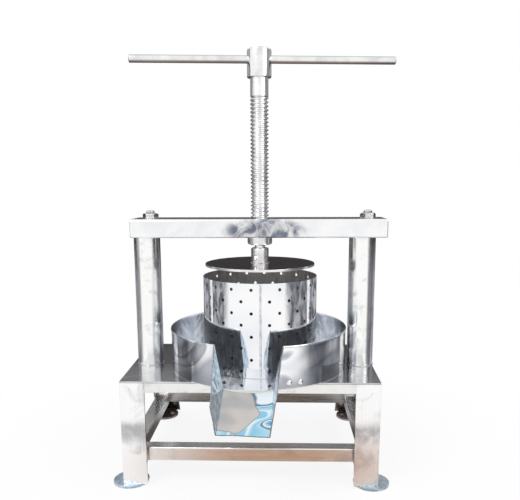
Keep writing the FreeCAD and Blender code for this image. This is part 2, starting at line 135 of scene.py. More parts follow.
class Finish:
    """A material under construction, with the patterns that its surface needs."""

    def __init__(self, name: str) -> None:
        """Start an empty material.

        Args:
            name: The material's name.
        """
        self.material = bpy.data.materials.new(name)
        self.material.use_nodes = True
        self.tree = self.material.node_tree
        self.tree.nodes.clear()
        self.place = add_node(self.tree, "ShaderNodeTexCoord").outputs["Object"]

    def streaks(self, grain: Grain, length: float, spacing: float, detail: float = 3.0) -> Socket:
        """Fine lines along the grain, from 0 to 1.

        Args:
            grain: Direction of the lines.
            length: How long a line is, in mm.
            spacing: Distance between lines, in mm.
            detail: How many finer layers the lines have.

        Returns:
            The socket with the pattern.
        """
        scale = [1 / (length * MM) if along else 1 / (spacing * MM) for along in grain.value]
        moved = add_node(self.tree, "ShaderNodeMapping", {"Scale": scale}, {"Vector": self.place})
        return add_node(self.tree, "ShaderNodeTexNoise", {"Scale": 1.0, "Detail": detail, "Roughness": 0.6},
                        {"Vector": moved.outputs["Vector"]}).outputs["Fac"]

    def rings(self, grain: Grain, spacing: float) -> Socket:
        """Turned rings across an axis, from 0 to 1.

        Args:
            grain: The axis of the lathe.
            spacing: Distance between rings, in mm.

        Returns:
            The socket with the pattern.
        """
        scale = [1 / (spacing * MM) if along else 1.5 for along in grain.value]
        moved = add_node(self.tree, "ShaderNodeMapping", {"Scale": scale}, {"Vector": self.place})
        return add_node(self.tree, "ShaderNodeTexNoise", {"Scale": 1.0, "Detail": 2.0},
                        {"Vector": moved.outputs["Vector"]}).outputs["Fac"]

    def faced(self, centre: Point, spacing: float) -> Socket:
        """Rings round an upright axis, as facing on a lathe leaves them.

        Args:
            centre: Place of the axis, in mm.
            spacing: Distance between rings, in mm.

        Returns:
            The socket with the pattern.
        """
        flat = add_node(self.tree, "ShaderNodeVectorMath", {1: (centre[0] * MM, centre[1] * MM, 0.0)},
                        {0: self.place}, operation="SUBTRACT")
        level = add_node(self.tree, "ShaderNodeVectorMath", {1: (1.0, 1.0, 0.0)},
                         {0: flat.outputs[0]}, operation="MULTIPLY")
        radius = add_node(self.tree, "ShaderNodeVectorMath", links={0: level.outputs[0]}, operation="LENGTH")
        return add_node(self.tree, "ShaderNodeTexNoise", {"Scale": 1 / (spacing * MM), "Detail": 2.0},
                        {"W": radius.outputs["Value"]}, noise_dimensions="1D").outputs["Fac"]

    def blotches(self, size: float, detail: float = 3.0, warp: float = 0.0) -> Socket:
        """Soft patches, from 0 to 1.

        Args:
            size: How large a patch is, in mm.
            detail: How many finer layers the patches have.
            warp: How much the patches are drawn out of shape.

        Returns:
            The socket with the pattern.
        """
        return add_node(self.tree, "ShaderNodeTexNoise",
                        {"Scale": 1 / (size * MM), "Detail": detail, "Roughness": 0.55, "Distortion": warp},
                        {"Vector": self.place}).outputs["Fac"]

    def near(self, middle: Place, reach: Place) -> Socket:
        """How near a point is to the middle of a soft oval patch, 1 at its middle and 0 outside.

        Args:
            middle: The patch's middle, in mm.
            reach: Its half sizes, in mm.

        Returns:
            The socket with the nearness.
        """
        apart = add_node(self.tree, "ShaderNodeVectorMath", {1: [c * MM for c in middle]},
                         {0: self.place}, operation="SUBTRACT")
        scaled = add_node(self.tree, "ShaderNodeVectorMath", {1: [1 / (r * MM) for r in reach]},
                          {0: apart.outputs[0]}, operation="MULTIPLY")
        far = add_node(self.tree, "ShaderNodeVectorMath", links={0: scaled.outputs[0]}, operation="LENGTH")
        return self.mask(Layer(far.outputs["Value"], 1.0, 0.0, 0.2, 1.0))

    def mask(self, *layers: Layer | Socket | float) -> Socket:
        """Multiply layers, so that what they steer is strong only where all of them are.

        Args:
            *layers: Stretched patterns, plain patterns and numbers, with no number first.

        Returns:
            The socket with the product.
        """
        product = None
        for layer in layers:
            if isinstance(layer, Layer):
                limits = {"From Min": layer.start, "From Max": layer.end,
                          "To Min": layer.low, "To Max": layer.high}
                layer = add_node(self.tree, "ShaderNodeMapRange", limits, {"Value": layer.pattern},
                                 interpolation_type="SMOOTHSTEP").outputs["Result"]
            if product is None:
                product = layer
            elif isinstance(layer, Socket):
                product = add_node(self.tree, "ShaderNodeMath", links={0: product, 1: layer},
                                   operation="MULTIPLY").outputs[0]
            else:
                product = add_node(self.tree, "ShaderNodeMath", {1: layer}, {0: product},
                                   operation="MULTIPLY").outputs[0]
        return product

    def blend(self, first: str | Socket, second: str | Socket, *layers: Layer | Socket | float) -> Socket:
        """Lay a second colour over a first one, as strongly as the layers are together.

        Args:
            first: sRGB hex value or a socket.
            second: sRGB hex value or a socket.
            *layers: What the second colour's share is the product of.

        Returns:
            The socket with the colour.
        """
        values, links = {}, {MIX_FACTOR: self.mask(*layers)}
        for key, colour in ((MIX_A, first), (MIX_B, second)):
            if isinstance(colour, str):
                values[key] = srgb(colour)
            else:
                links[key] = colour
        return add_node(self.tree, "ShaderNodeMix", values, links, data_type="RGBA").outputs[MIX_RESULT]

    def steel(self, colour: Socket, rough: Layer, *reliefs: tuple[Socket, float]) -> Material:
        """Finish the material as bare metal.

        Args:
            colour: Its colour.
            rough: Its roughness.
            *reliefs: Patterns of its unevenness and their depths in mm, the coarsest first.

        Returns:
            The material.
        """
        links = {"Base Color": colour, "Roughness": self.mask(rough)}
        for pattern, depth in reliefs:
            below = {"Normal": links["Normal"]} if "Normal" in links else {}
            links["Normal"] = add_node(self.tree, "ShaderNodeBump", {"Strength": 1.0, "Distance": depth * MM},
                                       {"Height": pattern, **below}).outputs["Normal"]
        shader = add_node(self.tree, "ShaderNodeBsdfPrincipled", {"Metallic": 1.0}, links)
        add_node(self.tree, "ShaderNodeOutputMaterial", links={"Surface": shader.outputs["BSDF"]})
        return self.material


# In every finish below, sizes are in mm unless a comment says otherwise, `rough` gives the least and the
# greatest roughness, and the last numbers of `build` are the depths of its patterns, in mm.


@dataclass(frozen=True)
class GroundStainless:
    """Stainless angle and tube, ground with a flap disc along its length.

    Reflections are drawn out into soft streaks along each member, with darker, smoky patches.
    """

    grain: Grain
    bright: str = "#fbfbfb"
    smoky: str = "#d2d1d3"
    darkened: str = "#8f8e91"
    darkening: float = 0.0             # how strong a darker band at one height is
    darkening_z: float = 98.0
    darkening_reach: float = 27.0
    darkening_width: float = 5000.0    # wider than the table, so that the band goes all round
    streak: Pair = (90.0, 2.2)     # length and spacing; real lines are 0.1 mm apart, too fine to show
    patch: float = 38.0
    rough: Pair = (0.18, 0.3)

    def build(self) -> Material:
        """Make the material.

        Returns:
            The material.
        """
        finish = Finish("ground_stainless_" + self.grain.name.lower())
        lines = finish.streaks(self.grain, *self.streak)
        patches = finish.blotches(self.patch, detail=5.0, warp=0.6)
        ground = finish.blend(self.bright, self.smoky, Layer(patches, 0.0, 1.0, 0.5, 0.72),
                              Layer(lines, 0.4, 1.0))
        band = finish.near((0.0, 0.0, self.darkening_z), (self.darkening_width, self.darkening_width, self.darkening_reach))
        # darker band at one height, laid over the patches
        colour = finish.blend(ground, self.darkened, band, Layer(patches, 0.2, 1.0, 0.35, 0.6), self.darkening)
        return finish.steel(colour, Layer(lines, *self.rough), (lines, 0.03))


@dataclass(frozen=True)
class BuffedPlate:
    """Flat stainless plate with a buffed top: a grey, slightly soft mirror with long faint scratches."""

    bright: str = "#dedfe0"
    dull: str = "#bcbdc0"
    scratch: Pair = (160.0, 2.5)   # length and spacing; real scratches are 0.2 mm apart, too fine to show
    patch: float = 70.0
    rough: Pair = (0.1, 0.18)

    def build(self) -> Material:
        """Make the material.

        Returns:
            The material.
        """
        finish = Finish("buffed_plate")
        lines = finish.streaks(Grain.ALONG_X, *self.scratch)
        patches = finish.blotches(self.patch, detail=4.0, warp=0.4)
        colour = finish.blend(self.bright, self.dull, Layer(patches))
        return finish.steel(colour, Layer(lines, *self.rough), (patches, 0.25), (lines, 0.015))


@dataclass(frozen=True)
class PolishedTube:
    """Welded stainless tube, belt polished: bright, with upright streaks and a few dull hand marks."""

    bright: str = "#fbfbfa"
    band: str = "#d3d3d6"
    dull: str = "#cfcfd2"
    line: Pair = (120.0, 1.8)      # length and spacing; real belt lines are 0.1 mm apart, too fine to show
    belt: Pair = (500.0, 9.0)      # length and width of one pass of the belt
    mark: float = 30.0
    rough: Pair = (0.17, 0.25)

    def build(self) -> Material:
        """Make the material.

        Returns:
            The material.
        """
        finish = Finish("polished_tube")
        lines = finish.streaks(Grain.ALONG_Z, *self.line)
        bands = finish.streaks(Grain.ALONG_Z, *self.belt, detail=1.0)
        marks = finish.blotches(self.mark, detail=6.0, warp=1.2)
        belted = finish.blend(self.bright, self.band, Layer(bands, 0.0, 1.0, 0.5, 0.66))
        colour = finish.blend(belted, self.dull, Layer(marks, 0.0, 1.0, 0.52, 0.7), Layer(lines, 0.3, 1.0))
        return finish.steel(colour, Layer(marks, *self.rough), (marks, 0.03), (lines, 0.012))


@dataclass(frozen=True)
class PolishedBeam:
    """Polished rectangular tube with the blue cloud that welding the screw nut left on its face."""

    bright: str = "#fafafa"
    dull: str = "#eceef1"
    cloud: str = "#566078"
    straw: str = "#dcd6cc"
    nut_place: Place = (23.0, -95.0, 427.0)
    cloud_reach: Place = (92.0, 60.0, 27.0)
    line: Pair = (140.0, 2.0)      # length and spacing; real lines are 0.1 mm apart, too fine to show
    patch: float = 45.0
    swirl: float = 24.0
    rough: Pair = (0.12, 0.22)

    def build(self) -> Material:
        """Make the material.

        Returns:
            The material.
        """
        finish = Finish("polished_beam")
        lines = finish.streaks(Grain.ALONG_X, *self.line)
        patches = finish.blotches(self.patch, detail=4.0, warp=0.5)
        swirl = finish.blotches(self.swirl, detail=4.0, warp=0.9)
        near = finish.near(self.nut_place, self.cloud_reach)
        plain = finish.blend(self.bright, self.dull, Layer(patches))
        warm = finish.blend(plain, self.straw, near, 0.3)
        colour = finish.blend(warm, self.cloud, Layer(near, 0.0, 1.0, 0.0, 0.6),
                              Layer(swirl, 0.1, 0.9, 0.36, 0.6))
        return finish.steel(colour, Layer(lines, *self.rough), (patches, 0.2), (lines, 0.02))


@dataclass(frozen=True)
class MirrorSheet:
    """Bright rolled stainless sheet: a clear mirror, a little wavy from rolling, with fine wipe marks."""

    bright: str = "#fafafb"
    cool: str = "#edf0f5"
    wave: float = 60.0
    wipe: Pair = (40.0, 5.0)       # length and spacing; real wipe marks are 0.5 mm apart, too fine to show
    rough: Pair = (0.035, 0.1)

    def build(self) -> Material:
        """Make the material.

        Returns:
            The material.
        """
        finish = Finish("mirror_sheet")
        waves = finish.blotches(self.wave, detail=1.0)
        wipes = finish.streaks(Grain.ALONG_Z, *self.wipe)
        colour = finish.blend(self.bright, self.cool, Layer(waves))
        return finish.steel(colour, Layer(wipes, *self.rough), (waves, 0.5), (wipes, 0.006))


@dataclass(frozen=True)
class PaintedReflectionMirror:
    """Outside of the bowl: mirror sheet, a little dull, with painted reflections in sweeping lighter and
    darker shapes.

    Toward its foot painted shade makes it darker.
    """

    dark: str = "#b4b8c0"
    middle: str = "#e4e6e9"
    bright: str = "#fafbfb"
    # colour of the painted shade toward the foot
    foot: str = "#9497a0"
    foot_shade_top: Pair = (0.188, 0.216)    # heights between which the painted shade at the foot ends, in metres
    sweep: float = 130.0
    slant: float = 0.7             # how far the sweeps lean, in radians
    squash: float = 2.4            # how much lower than wide a sweep is
    wipe: Pair = (40.0, 5.0)       # length and spacing; real wipe marks are 0.5 mm apart, too fine to show
    rough: Pair = (0.08, 0.16)

    def build(self) -> Material:
        """Make the material.

        Returns:
            The material.
        """
        finish = Finish("painted_reflection_mirror")
        tilt = add_node(finish.tree, "ShaderNodeMapping",
                        {"Rotation": (0.0, self.slant, 0.0), "Scale": (1.0, 1.0, self.squash)},
                        {"Vector": finish.place})
        sweeps = add_node(finish.tree, "ShaderNodeTexNoise",
                          {"Scale": 1 / (self.sweep * MM), "Detail": 0.6, "Distortion": 0.5},
                          {"Vector": tilt.outputs["Vector"]}).outputs["Fac"]
        wipes = finish.streaks(Grain.ALONG_Z, *self.wipe)
        # painted reflections in sweeping lighter and darker shapes
        shapes = add_node(finish.tree, "ShaderNodeValToRGB", links={"Fac": sweeps}, stops=(
            (0.38, self.middle), (0.45, self.dark), (0.48, self.bright), (0.54, self.middle),
            (0.6, self.dark)))
        height = add_node(finish.tree, "ShaderNodeSeparateXYZ", links={"Vector": finish.place}).outputs["Z"]
        # painted shade toward the foot
        colour = finish.blend(shapes.outputs["Color"], self.foot, Layer(height, 0.8, 0.0, *self.foot_shade_top))
        return finish.steel(colour, Layer(wipes, *self.rough), (sweeps, 0.4))


@dataclass(frozen=True)
class ShearedEdge:
    """Cut edge of sheet and the wall of a punched hole: dull and a little torn, and dark partly from that and
    partly as painted shade in the holes.
    """

    bright: str = "#98989c"
    dark: str = "#5d5d62"
    tear: float = 2.5              # real tears are 0.3 mm, too fine to show
    rough: Pair = (0.35, 0.5)

    def build(self) -> Material:
        """Make the material.

        Returns:
            The material.
        """
        finish = Finish("sheared_edge")
        burr = finish.blotches(self.tear, detail=3.0)
        # dark colour: partly the dull cut edge, partly painted shade in the holes
        colour = finish.blend(self.bright, self.dark, Layer(burr))
        return finish.steel(colour, Layer(burr, *self.rough), (burr, 0.08))


@dataclass(frozen=True)
class FilmedSheet:
    """Stainless sheet under the remains of its blue protective film, wrinkled by the folding.

    The left part is bare and grey, and the film shows as pale and blue bands at the right and along the lip.
    """

    steel: str = "#cdc8c4"
    shade: str = "#b5b4b4"
    film: str = "#8fcae6"
    thin: str = "#b9dff0"
    deep: str = "#46607c"
    pale: str = "#e9f2f7"
    bare_middle: Place = (-30.0, -236.0, 168.0)
    bare_reach: Place = (76.0, 68.0, 110.0)
    film_top: Pair = (0.176, 0.2)  # heights between which the film ends, in metres
    fold: float = 56.0
    ragged: float = 0.58           # how much the folds move the film's edge
    spared: float = 0.58           # how much the bare middle holds the film off
    edge_start: float = 0.53       # levels at which the film's dark edge begins and is darkest
    edge_peak: float = 0.56
    rough: Pair = (0.08, 0.18)

    def build(self) -> Material:
        """Make the material.

        Returns:
            The material.
        """
        finish = Finish("filmed_sheet")
        folds = finish.blotches(self.fold, detail=0.3, warp=0.9)
        far = finish.mask(Layer(finish.near(self.bare_middle, self.bare_reach), self.spared, 0.0, 0.0, 1.0))
        edge = add_node(finish.tree, "ShaderNodeMath", {1: self.ragged}, {0: folds, 2: far},
                        operation="MULTIPLY_ADD").outputs[0]
        film = add_node(finish.tree, "ShaderNodeValToRGB", links={"Fac": folds}, stops=(
            (0.34, self.film), (0.39, self.pale), (0.44, self.film), (0.485, self.thin), (0.51, self.deep),
            (0.53, self.pale), (0.57, self.film), (0.62, self.deep), (0.66, self.pale))).outputs["Color"]
        height = add_node(finish.tree, "ShaderNodeSeparateXYZ", links={"Vector": finish.place}).outputs["Z"]
        metal = finish.blend(self.steel, self.shade, Layer(folds))
        rimmed = finish.blend(metal, self.deep, Layer(edge, 0.0, 1.0, self.edge_start, self.edge_peak),
                              Layer(edge, 1.0, 0.0, self.edge_peak, self.edge_peak + 0.03),
                              Layer(height, 0.5, 0.0, *self.film_top))
        colour = finish.blend(rimmed, film, Layer(edge, 0.0, 1.0, self.edge_peak, self.edge_peak + 0.04),
                              Layer(height, 1.0, 0.0, *self.film_top))
        return finish.steel(colour, Layer(folds, *self.rough), (folds, 1.2))


@dataclass(frozen=True)
class CreasedSheet:
    """Side walls of the spout: sheet creased by the folding, grey-blue, with narrow painted highlights and
    painted shade along the creases.
    """

    pale: str = "#eef5fa"
    grey: str = "#a6bfd0"
    dark: str = "#526678"
    crease: Pair = (60.0, 12.0)
    rough: Pair = (0.1, 0.2)

    def build(self) -> Material:
        """Make the material.

        Returns:
            The material.
        """
        finish = Finish("creased_sheet")
        creases = finish.streaks(Grain.ALONG_Z, *self.crease, detail=2.0)
        # painted highlights and painted shade along the creases
        lines = add_node(finish.tree, "ShaderNodeValToRGB", links={"Fac": creases}, stops=(
            (0.36, self.dark), (0.42, self.pale), (0.46, self.grey), (0.54, self.grey), (0.58, self.pale),
            (0.62, self.dark), (0.68, self.grey))).outputs["Color"]
        return finish.steel(lines, Layer(creases, *self.rough), (creases, 0.4))


@dataclass(frozen=True)
class MilledSheet:
    """Inside of the basket, left as the mill rolled it: soft and grey, and darker below the rim with painted
    shade.
    """

    bright: str = "#fcfaf9"
    dull: str = "#e2dfdd"
    recess_shade: str = "#847d79"
    rim: Pair = (0.285, 0.31)      # heights between which the painted shade ends, in metres
    wipe: Pair = (60.0, 7.0)       # length and spacing; real rolling lines are 0.1 mm apart, too fine to show
    rough: Pair = (0.48, 0.62)

    def build(self) -> Material:
        """Make the material.

        Returns:
            The material.
        """
        finish = Finish("milled_sheet")
        wipes = finish.streaks(Grain.ALONG_Z, *self.wipe)
        height = add_node(finish.tree, "ShaderNodeSeparateXYZ", links={"Vector": finish.place}).outputs["Z"]
        unshaded = finish.blend(self.bright, self.dull, Layer(wipes))
        # painted shade deep in the basket, below the rim
        colour = finish.blend(self.recess_shade, unshaded, Layer(height, 0.0, 1.0, *self.rim))
        return finish.steel(colour, Layer(wipes, *self.rough), (wipes, 0.03))


@dataclass(frozen=True)
class WornMirror:
    """Inside of the bowl: mirror sheet that washing has dulled, so light from above spreads in it."""

    bright: str = "#fafbfc"
    cool: str = "#dbe0e8"
    wave: float = 34.0
    wipe: Pair = (50.0, 6.0)       # length and spacing; real wipe marks are 0.5 mm apart, too fine to show
    rough: Pair = (0.14, 0.26)

    def build(self) -> Material:
        """Make the material.

        Returns:
            The material.
        """
        finish = Finish("worn_mirror")
        waves = finish.blotches(self.wave, detail=3.0, warp=0.8)
        wipes = finish.streaks(Grain.ALONG_Z, *self.wipe)
        colour = finish.blend(self.bright, self.cool, Layer(waves))
        return finish.steel(colour, Layer(wipes, *self.rough), (waves, 1.3), (wipes, 0.02))


@dataclass(frozen=True)
class TurnedSteel:
    """Stainless bar turned on a lathe: fine rings across its axis break up each highlight.

    Where asked, painted shade darkens the underside to a brownish grey and a painted reflection darkens the
    top to a grey-blue.
    """

    grain: Grain
    bright: str = "#f4f4f3"
    dull: str = "#dddddf"
    # colour of the painted shade on the underside
    film: str = "#84776f"
    # colour of the painted reflection on the top
    top_tone: str = "#8d979d"
    underside_shade: float = 0.0            # how strong the painted shade on the underside is
    top_darkening: float = 0.0             # how strong the painted reflection on the top is
    rough: Pair = (0.1, 0.18)
    patch: float = 22.0
    ring: float = 1.6              # real feed marks are 0.2 mm apart, too fine to show

    def build(self) -> Material:
        """Make the material.

        Returns:
            The material.
        """
        finish = Finish("turned_steel_" + self.grain.name.lower())
        rings = finish.rings(self.grain, self.ring)
        unshaded = finish.blend(self.bright, self.dull, Layer(finish.blotches(self.patch, detail=4.0)))
        facing = add_node(finish.tree, "ShaderNodeTexCoord").outputs["Normal"]
        up = add_node(finish.tree, "ShaderNodeSeparateXYZ", links={"Vector": facing}).outputs["Z"]
        # painted shade on faces that point down, painted reflection on faces that point up
        under = finish.blend(unshaded, self.film, Layer(up, self.underside_shade, 0.0, -0.7, -0.25))
        colour = finish.blend(under, self.top_tone, Layer(up, 0.0, self.top_darkening, 0.55, 0.9))
        return finish.steel(colour, Layer(rings, *self.rough), (rings, 0.003))


@dataclass(frozen=True)
class FacedSteel:
    """Stainless disc faced on a lathe: a grey mirror with faint rings round its middle."""

    centre: Point
    bright: str = "#eae6e7"
    dull: str = "#ccc8c9"
    patch: float = 30.0
    ring: float = 2.4              # real feed marks are 0.2 mm apart, too fine to show
    rough: Pair = (0.035, 0.07)

    def build(self) -> Material:
        """Make the material.

        Returns:
            The material.
        """
        finish = Finish("faced_steel")
        rings = finish.faced(self.centre, self.ring)
        colour = finish.blend(self.bright, self.dull, Layer(finish.blotches(self.patch, detail=5.0)))
        return finish.steel(colour, Layer(rings, *self.rough), (rings, 0.003))


@dataclass(frozen=True)
class PlainFastener:
    """Cold formed stainless nut, washer and rod: dull grey, with a grain of small dents."""

    bright: str = "#f0f0ee"
    dull: str = "#c4c4c6"
    dent: float = 3.0              # real dents are 0.5 mm, too fine to show
    rough: Pair = (0.16, 0.26)

    def build(self) -> Material:
        """Make the material.

        Returns:
            The material.
        """
        finish = Finish("plain_fastener")
        dents = finish.blotches(self.dent, detail=3.0)
        colour = finish.blend(self.bright, self.dull, Layer(dents))
        return finish.steel(colour, Layer(dents, *self.rough), (dents, 0.015))


@dataclass(frozen=True)
class WashedFoot:
    """Laser cut foot plate, washed and wiped: pale and bluish with bright wet-looking patches."""

    bright: str = "#d5e1ea"
    cool: str = "#a0b3c2"
    patch: float = 14.0
    rough: Pair = (0.34, 0.52)

    def build(self) -> Material:
        """Make the material.

        Returns:
            The material.
        """
        finish = Finish("washed_foot")
        patches = finish.blotches(self.patch, detail=4.0, warp=1.0)
        colour = finish.blend(self.bright, self.cool, Layer(patches, 0.0, 1.0, 0.4, 0.62))
        return finish.steel(colour, Layer(patches, *self.rough), (patches, 0.2))


@dataclass(frozen=True)
class ShadedRearFoot:
    """Foot plate at the back, painted brownish and dark as shade, and dull."""

    # colours of the painted shade
    brown: str = "#dccfc7"
    dark: str = "#9a8f89"
    patch: float = 18.0
    rough: Pair = (0.3, 0.5)

    def build(self) -> Material:
        """Make the material.

        Returns:
            The material.
        """
        finish = Finish("shaded_rear_foot")
        patches = finish.blotches(self.patch, detail=4.0, warp=0.6)
        colour = finish.blend(self.brown, self.dark, Layer(patches))
        return finish.steel(colour, Layer(patches, *self.rough), (patches, 0.1))


@dataclass(frozen=True)
class WeldBead:
    """Bead of a tungsten arc weld: overlapping ripples with straw and blue heat colours."""

    bright: str = "#dcd9d4"
    heat: str = "#8f8d98"
    patch: float = 6.0
    rough: Pair = (0.25, 0.45)

    def build(self) -> Material:
        """Make the material.

        Returns:
            The material.
        """
        finish = Finish("weld_bead")
        patches = finish.blotches(self.patch, detail=4.0)
        colour = finish.blend(self.bright, self.heat, Layer(patches))
        return finish.steel(colour, Layer(patches, *self.rough), (patches, 0.1))


@dataclass(frozen=True)
class PaleFloor:
    """Floor of the room: white to the eye, with a faint shadow under the press.

    For the steel's reflections alone it glows with painted tones: bright in front, warm before the press, a
    painted shadow under it and dark behind it and to its sides.
    """

    white: str = "#ffffff"
    matt: str = "#eeeeee"
    warm: str = "#c09a80"
    pale: str = "#b5b6bb"
    dark: str = "#5c5e64"
    # painted shadow under the table, seen only in reflections
    brown: str = "#544d49"
    warm_middle: Place = (45.0, -280.0, 0.0)
    warm_reach: Place = (340.0, 220.0, 100.0)
    painted_shadow_middle: Place = (0.0, 10.0, 0.0)
    painted_shadow_reach: Place = (300.0, 240.0, 100.0)
    shadow_middle: Place = (0.0, -50.0, 0.0)
    shadow_reach: Place = (700.0, 700.0, 100.0)
    shadow: float = 0.12           # how strong the shadow is
    cloud: float = 360.0
    uneven: float = 0.2            # how much sooner the floor turns dark at the right than at the left
    aside: float = 0.69            # how much the way to a side counts against the way back
    turns: Pair = (-0.15, 0.4)     # how far back it begins to turn dark and is dark, in metres

    def build(self) -> Material:
        """Make the material.

        Returns:
            The material.
        """
        floor = Finish("pale_floor")
        tree = floor.tree
        path = add_node(tree, "ShaderNodeLightPath").outputs
        axes = add_node(tree, "ShaderNodeSeparateXYZ", links={"Vector": floor.place}).outputs
        wide = add_node(tree, "ShaderNodeMath", links={0: axes["X"]}, operation="ABSOLUTE").outputs[0]
        uneven = add_node(tree, "ShaderNodeMath", {1: self.uneven}, {0: axes["X"], 2: wide},
                          operation="MULTIPLY_ADD").outputs[0]
        back = add_node(tree, "ShaderNodeMath", {1: self.aside}, {0: uneven, 2: axes["Y"]},
                        operation="MULTIPLY_ADD").outputs[0]
        warm = floor.blend(self.white, self.warm, floor.near(self.warm_middle, self.warm_reach))
        clouds = floor.blotches(self.cloud, detail=2.0, warp=0.5)
        side = floor.blend(self.pale, self.dark, Layer(clouds, 0.0, 1.0, 0.4, 0.6))
        shown = floor.blend(warm, side, Layer(back, 0.0, 1.0, *self.turns))
        # painted shadow under the table
        under = floor.near(self.painted_shadow_middle, self.painted_shadow_reach)
        shown = floor.blend(shown, self.brown, Layer(under, 0.0, 1.0, 0.05, 0.5))
        # the floor glows with these painted tones for reflections only
        reflected_glow = add_node(tree, "ShaderNodeEmission", {"Strength": 1.0}, {"Color": shown})
        matt = add_node(tree, "ShaderNodeBsdfDiffuse", {"Color": srgb(self.matt)})
        glossy = add_node(tree, "ShaderNodeMixShader",
                          links={0: path["Is Glossy Ray"], 1: matt.outputs[0], 2: reflected_glow.outputs[0]})
        white = add_node(tree, "ShaderNodeEmission", {"Color": srgb(self.white), "Strength": 1.0})
        close = floor.mask(floor.near(self.shadow_middle, self.shadow_reach), self.shadow)
        shadow = add_node(tree, "ShaderNodeMixShader",
                          links={0: close, 1: white.outputs[0], 2: matt.outputs[0]})
        whole = add_node(tree, "ShaderNodeMixShader",
                         links={0: path["Is Camera Ray"], 1: glossy.outputs[0], 2: shadow.outputs[0]})
        add_node(tree, "ShaderNodeOutputMaterial", links={"Surface": whole.outputs[0]})
        return floor.material


@dataclass(frozen=True)
class GlowingCard:
    """Glowing face of a standing card: painted dark in its lower part, grey above and white along its top."""

    card: str
    height: float                  # the card's height, in metres
    dark: str = "#403d3f"
    grey: str = "#9a9a9c"
    pale: str = "#b4b4b6"
    white: str = "#ffffff"

    def build(self) -> Material:
        """Make the material.

        Returns:
            The material.
        """
        card_glow = Finish(self.card + "_glow")
        axes = add_node(card_glow.tree, "ShaderNodeSeparateXYZ", links={"Vector": card_glow.place}).outputs
        level = add_node(card_glow.tree, "ShaderNodeMath", {1: 1 / self.height}, {0: axes["Z"]},
                         operation="MULTIPLY")
        # the card glows: painted dark below, grey above and white along its top
        colour = add_node(card_glow.tree, "ShaderNodeValToRGB", links={"Fac": level.outputs[0]}, stops=(
            (0.0, self.dark), (0.39, self.dark), (0.49, self.grey), (0.75, self.pale), (1.0, self.white)))
        light = add_node(card_glow.tree, "ShaderNodeEmission", {"Strength": 1.0},
                         {"Color": colour.outputs["Color"]})
        add_node(card_glow.tree, "ShaderNodeOutputMaterial", links={"Surface": light.outputs[0]})
        return card_glow.material


def around(centre: Point, radius: float, angle: float, z: float) -> Vector:
    """Point beside an upright axis.

    Args:
        centre: Place of the axis, in mm.
        radius: Distance from the axis, in mm.
        angle: Direction from +X, in radians.
        z: Height, in mm.

    Returns:
        The point, in mm.
    """
    return Vector((centre[0] + radius * math.cos(angle), centre[1] + radius * math.sin(angle), z))


def circle(centre: Point, radius: float, z: float, steps: int) -> list[Vector]:
    """Points of a level circle.

    Args:
        centre: Place of its middle, in mm.
        radius: Its radius, in mm.
        z: Its height, in mm.
        steps: How many points it has.

    Returns:
        The points, in mm.
    """
    return [around(centre, radius, math.tau * step / steps, z) for step in range(steps)]


def put(name: str, data: bpy.types.ID) -> bpy.types.Object:
    """Put a new object into the scene.

    Args:
        name: Its name.
        data: Its mesh, lamp or camera.

    Returns:
        The new object.
    """
    thing = bpy.data.objects.new(name, data)
    bpy.context.scene.collection.objects.link(thing)
    return thing


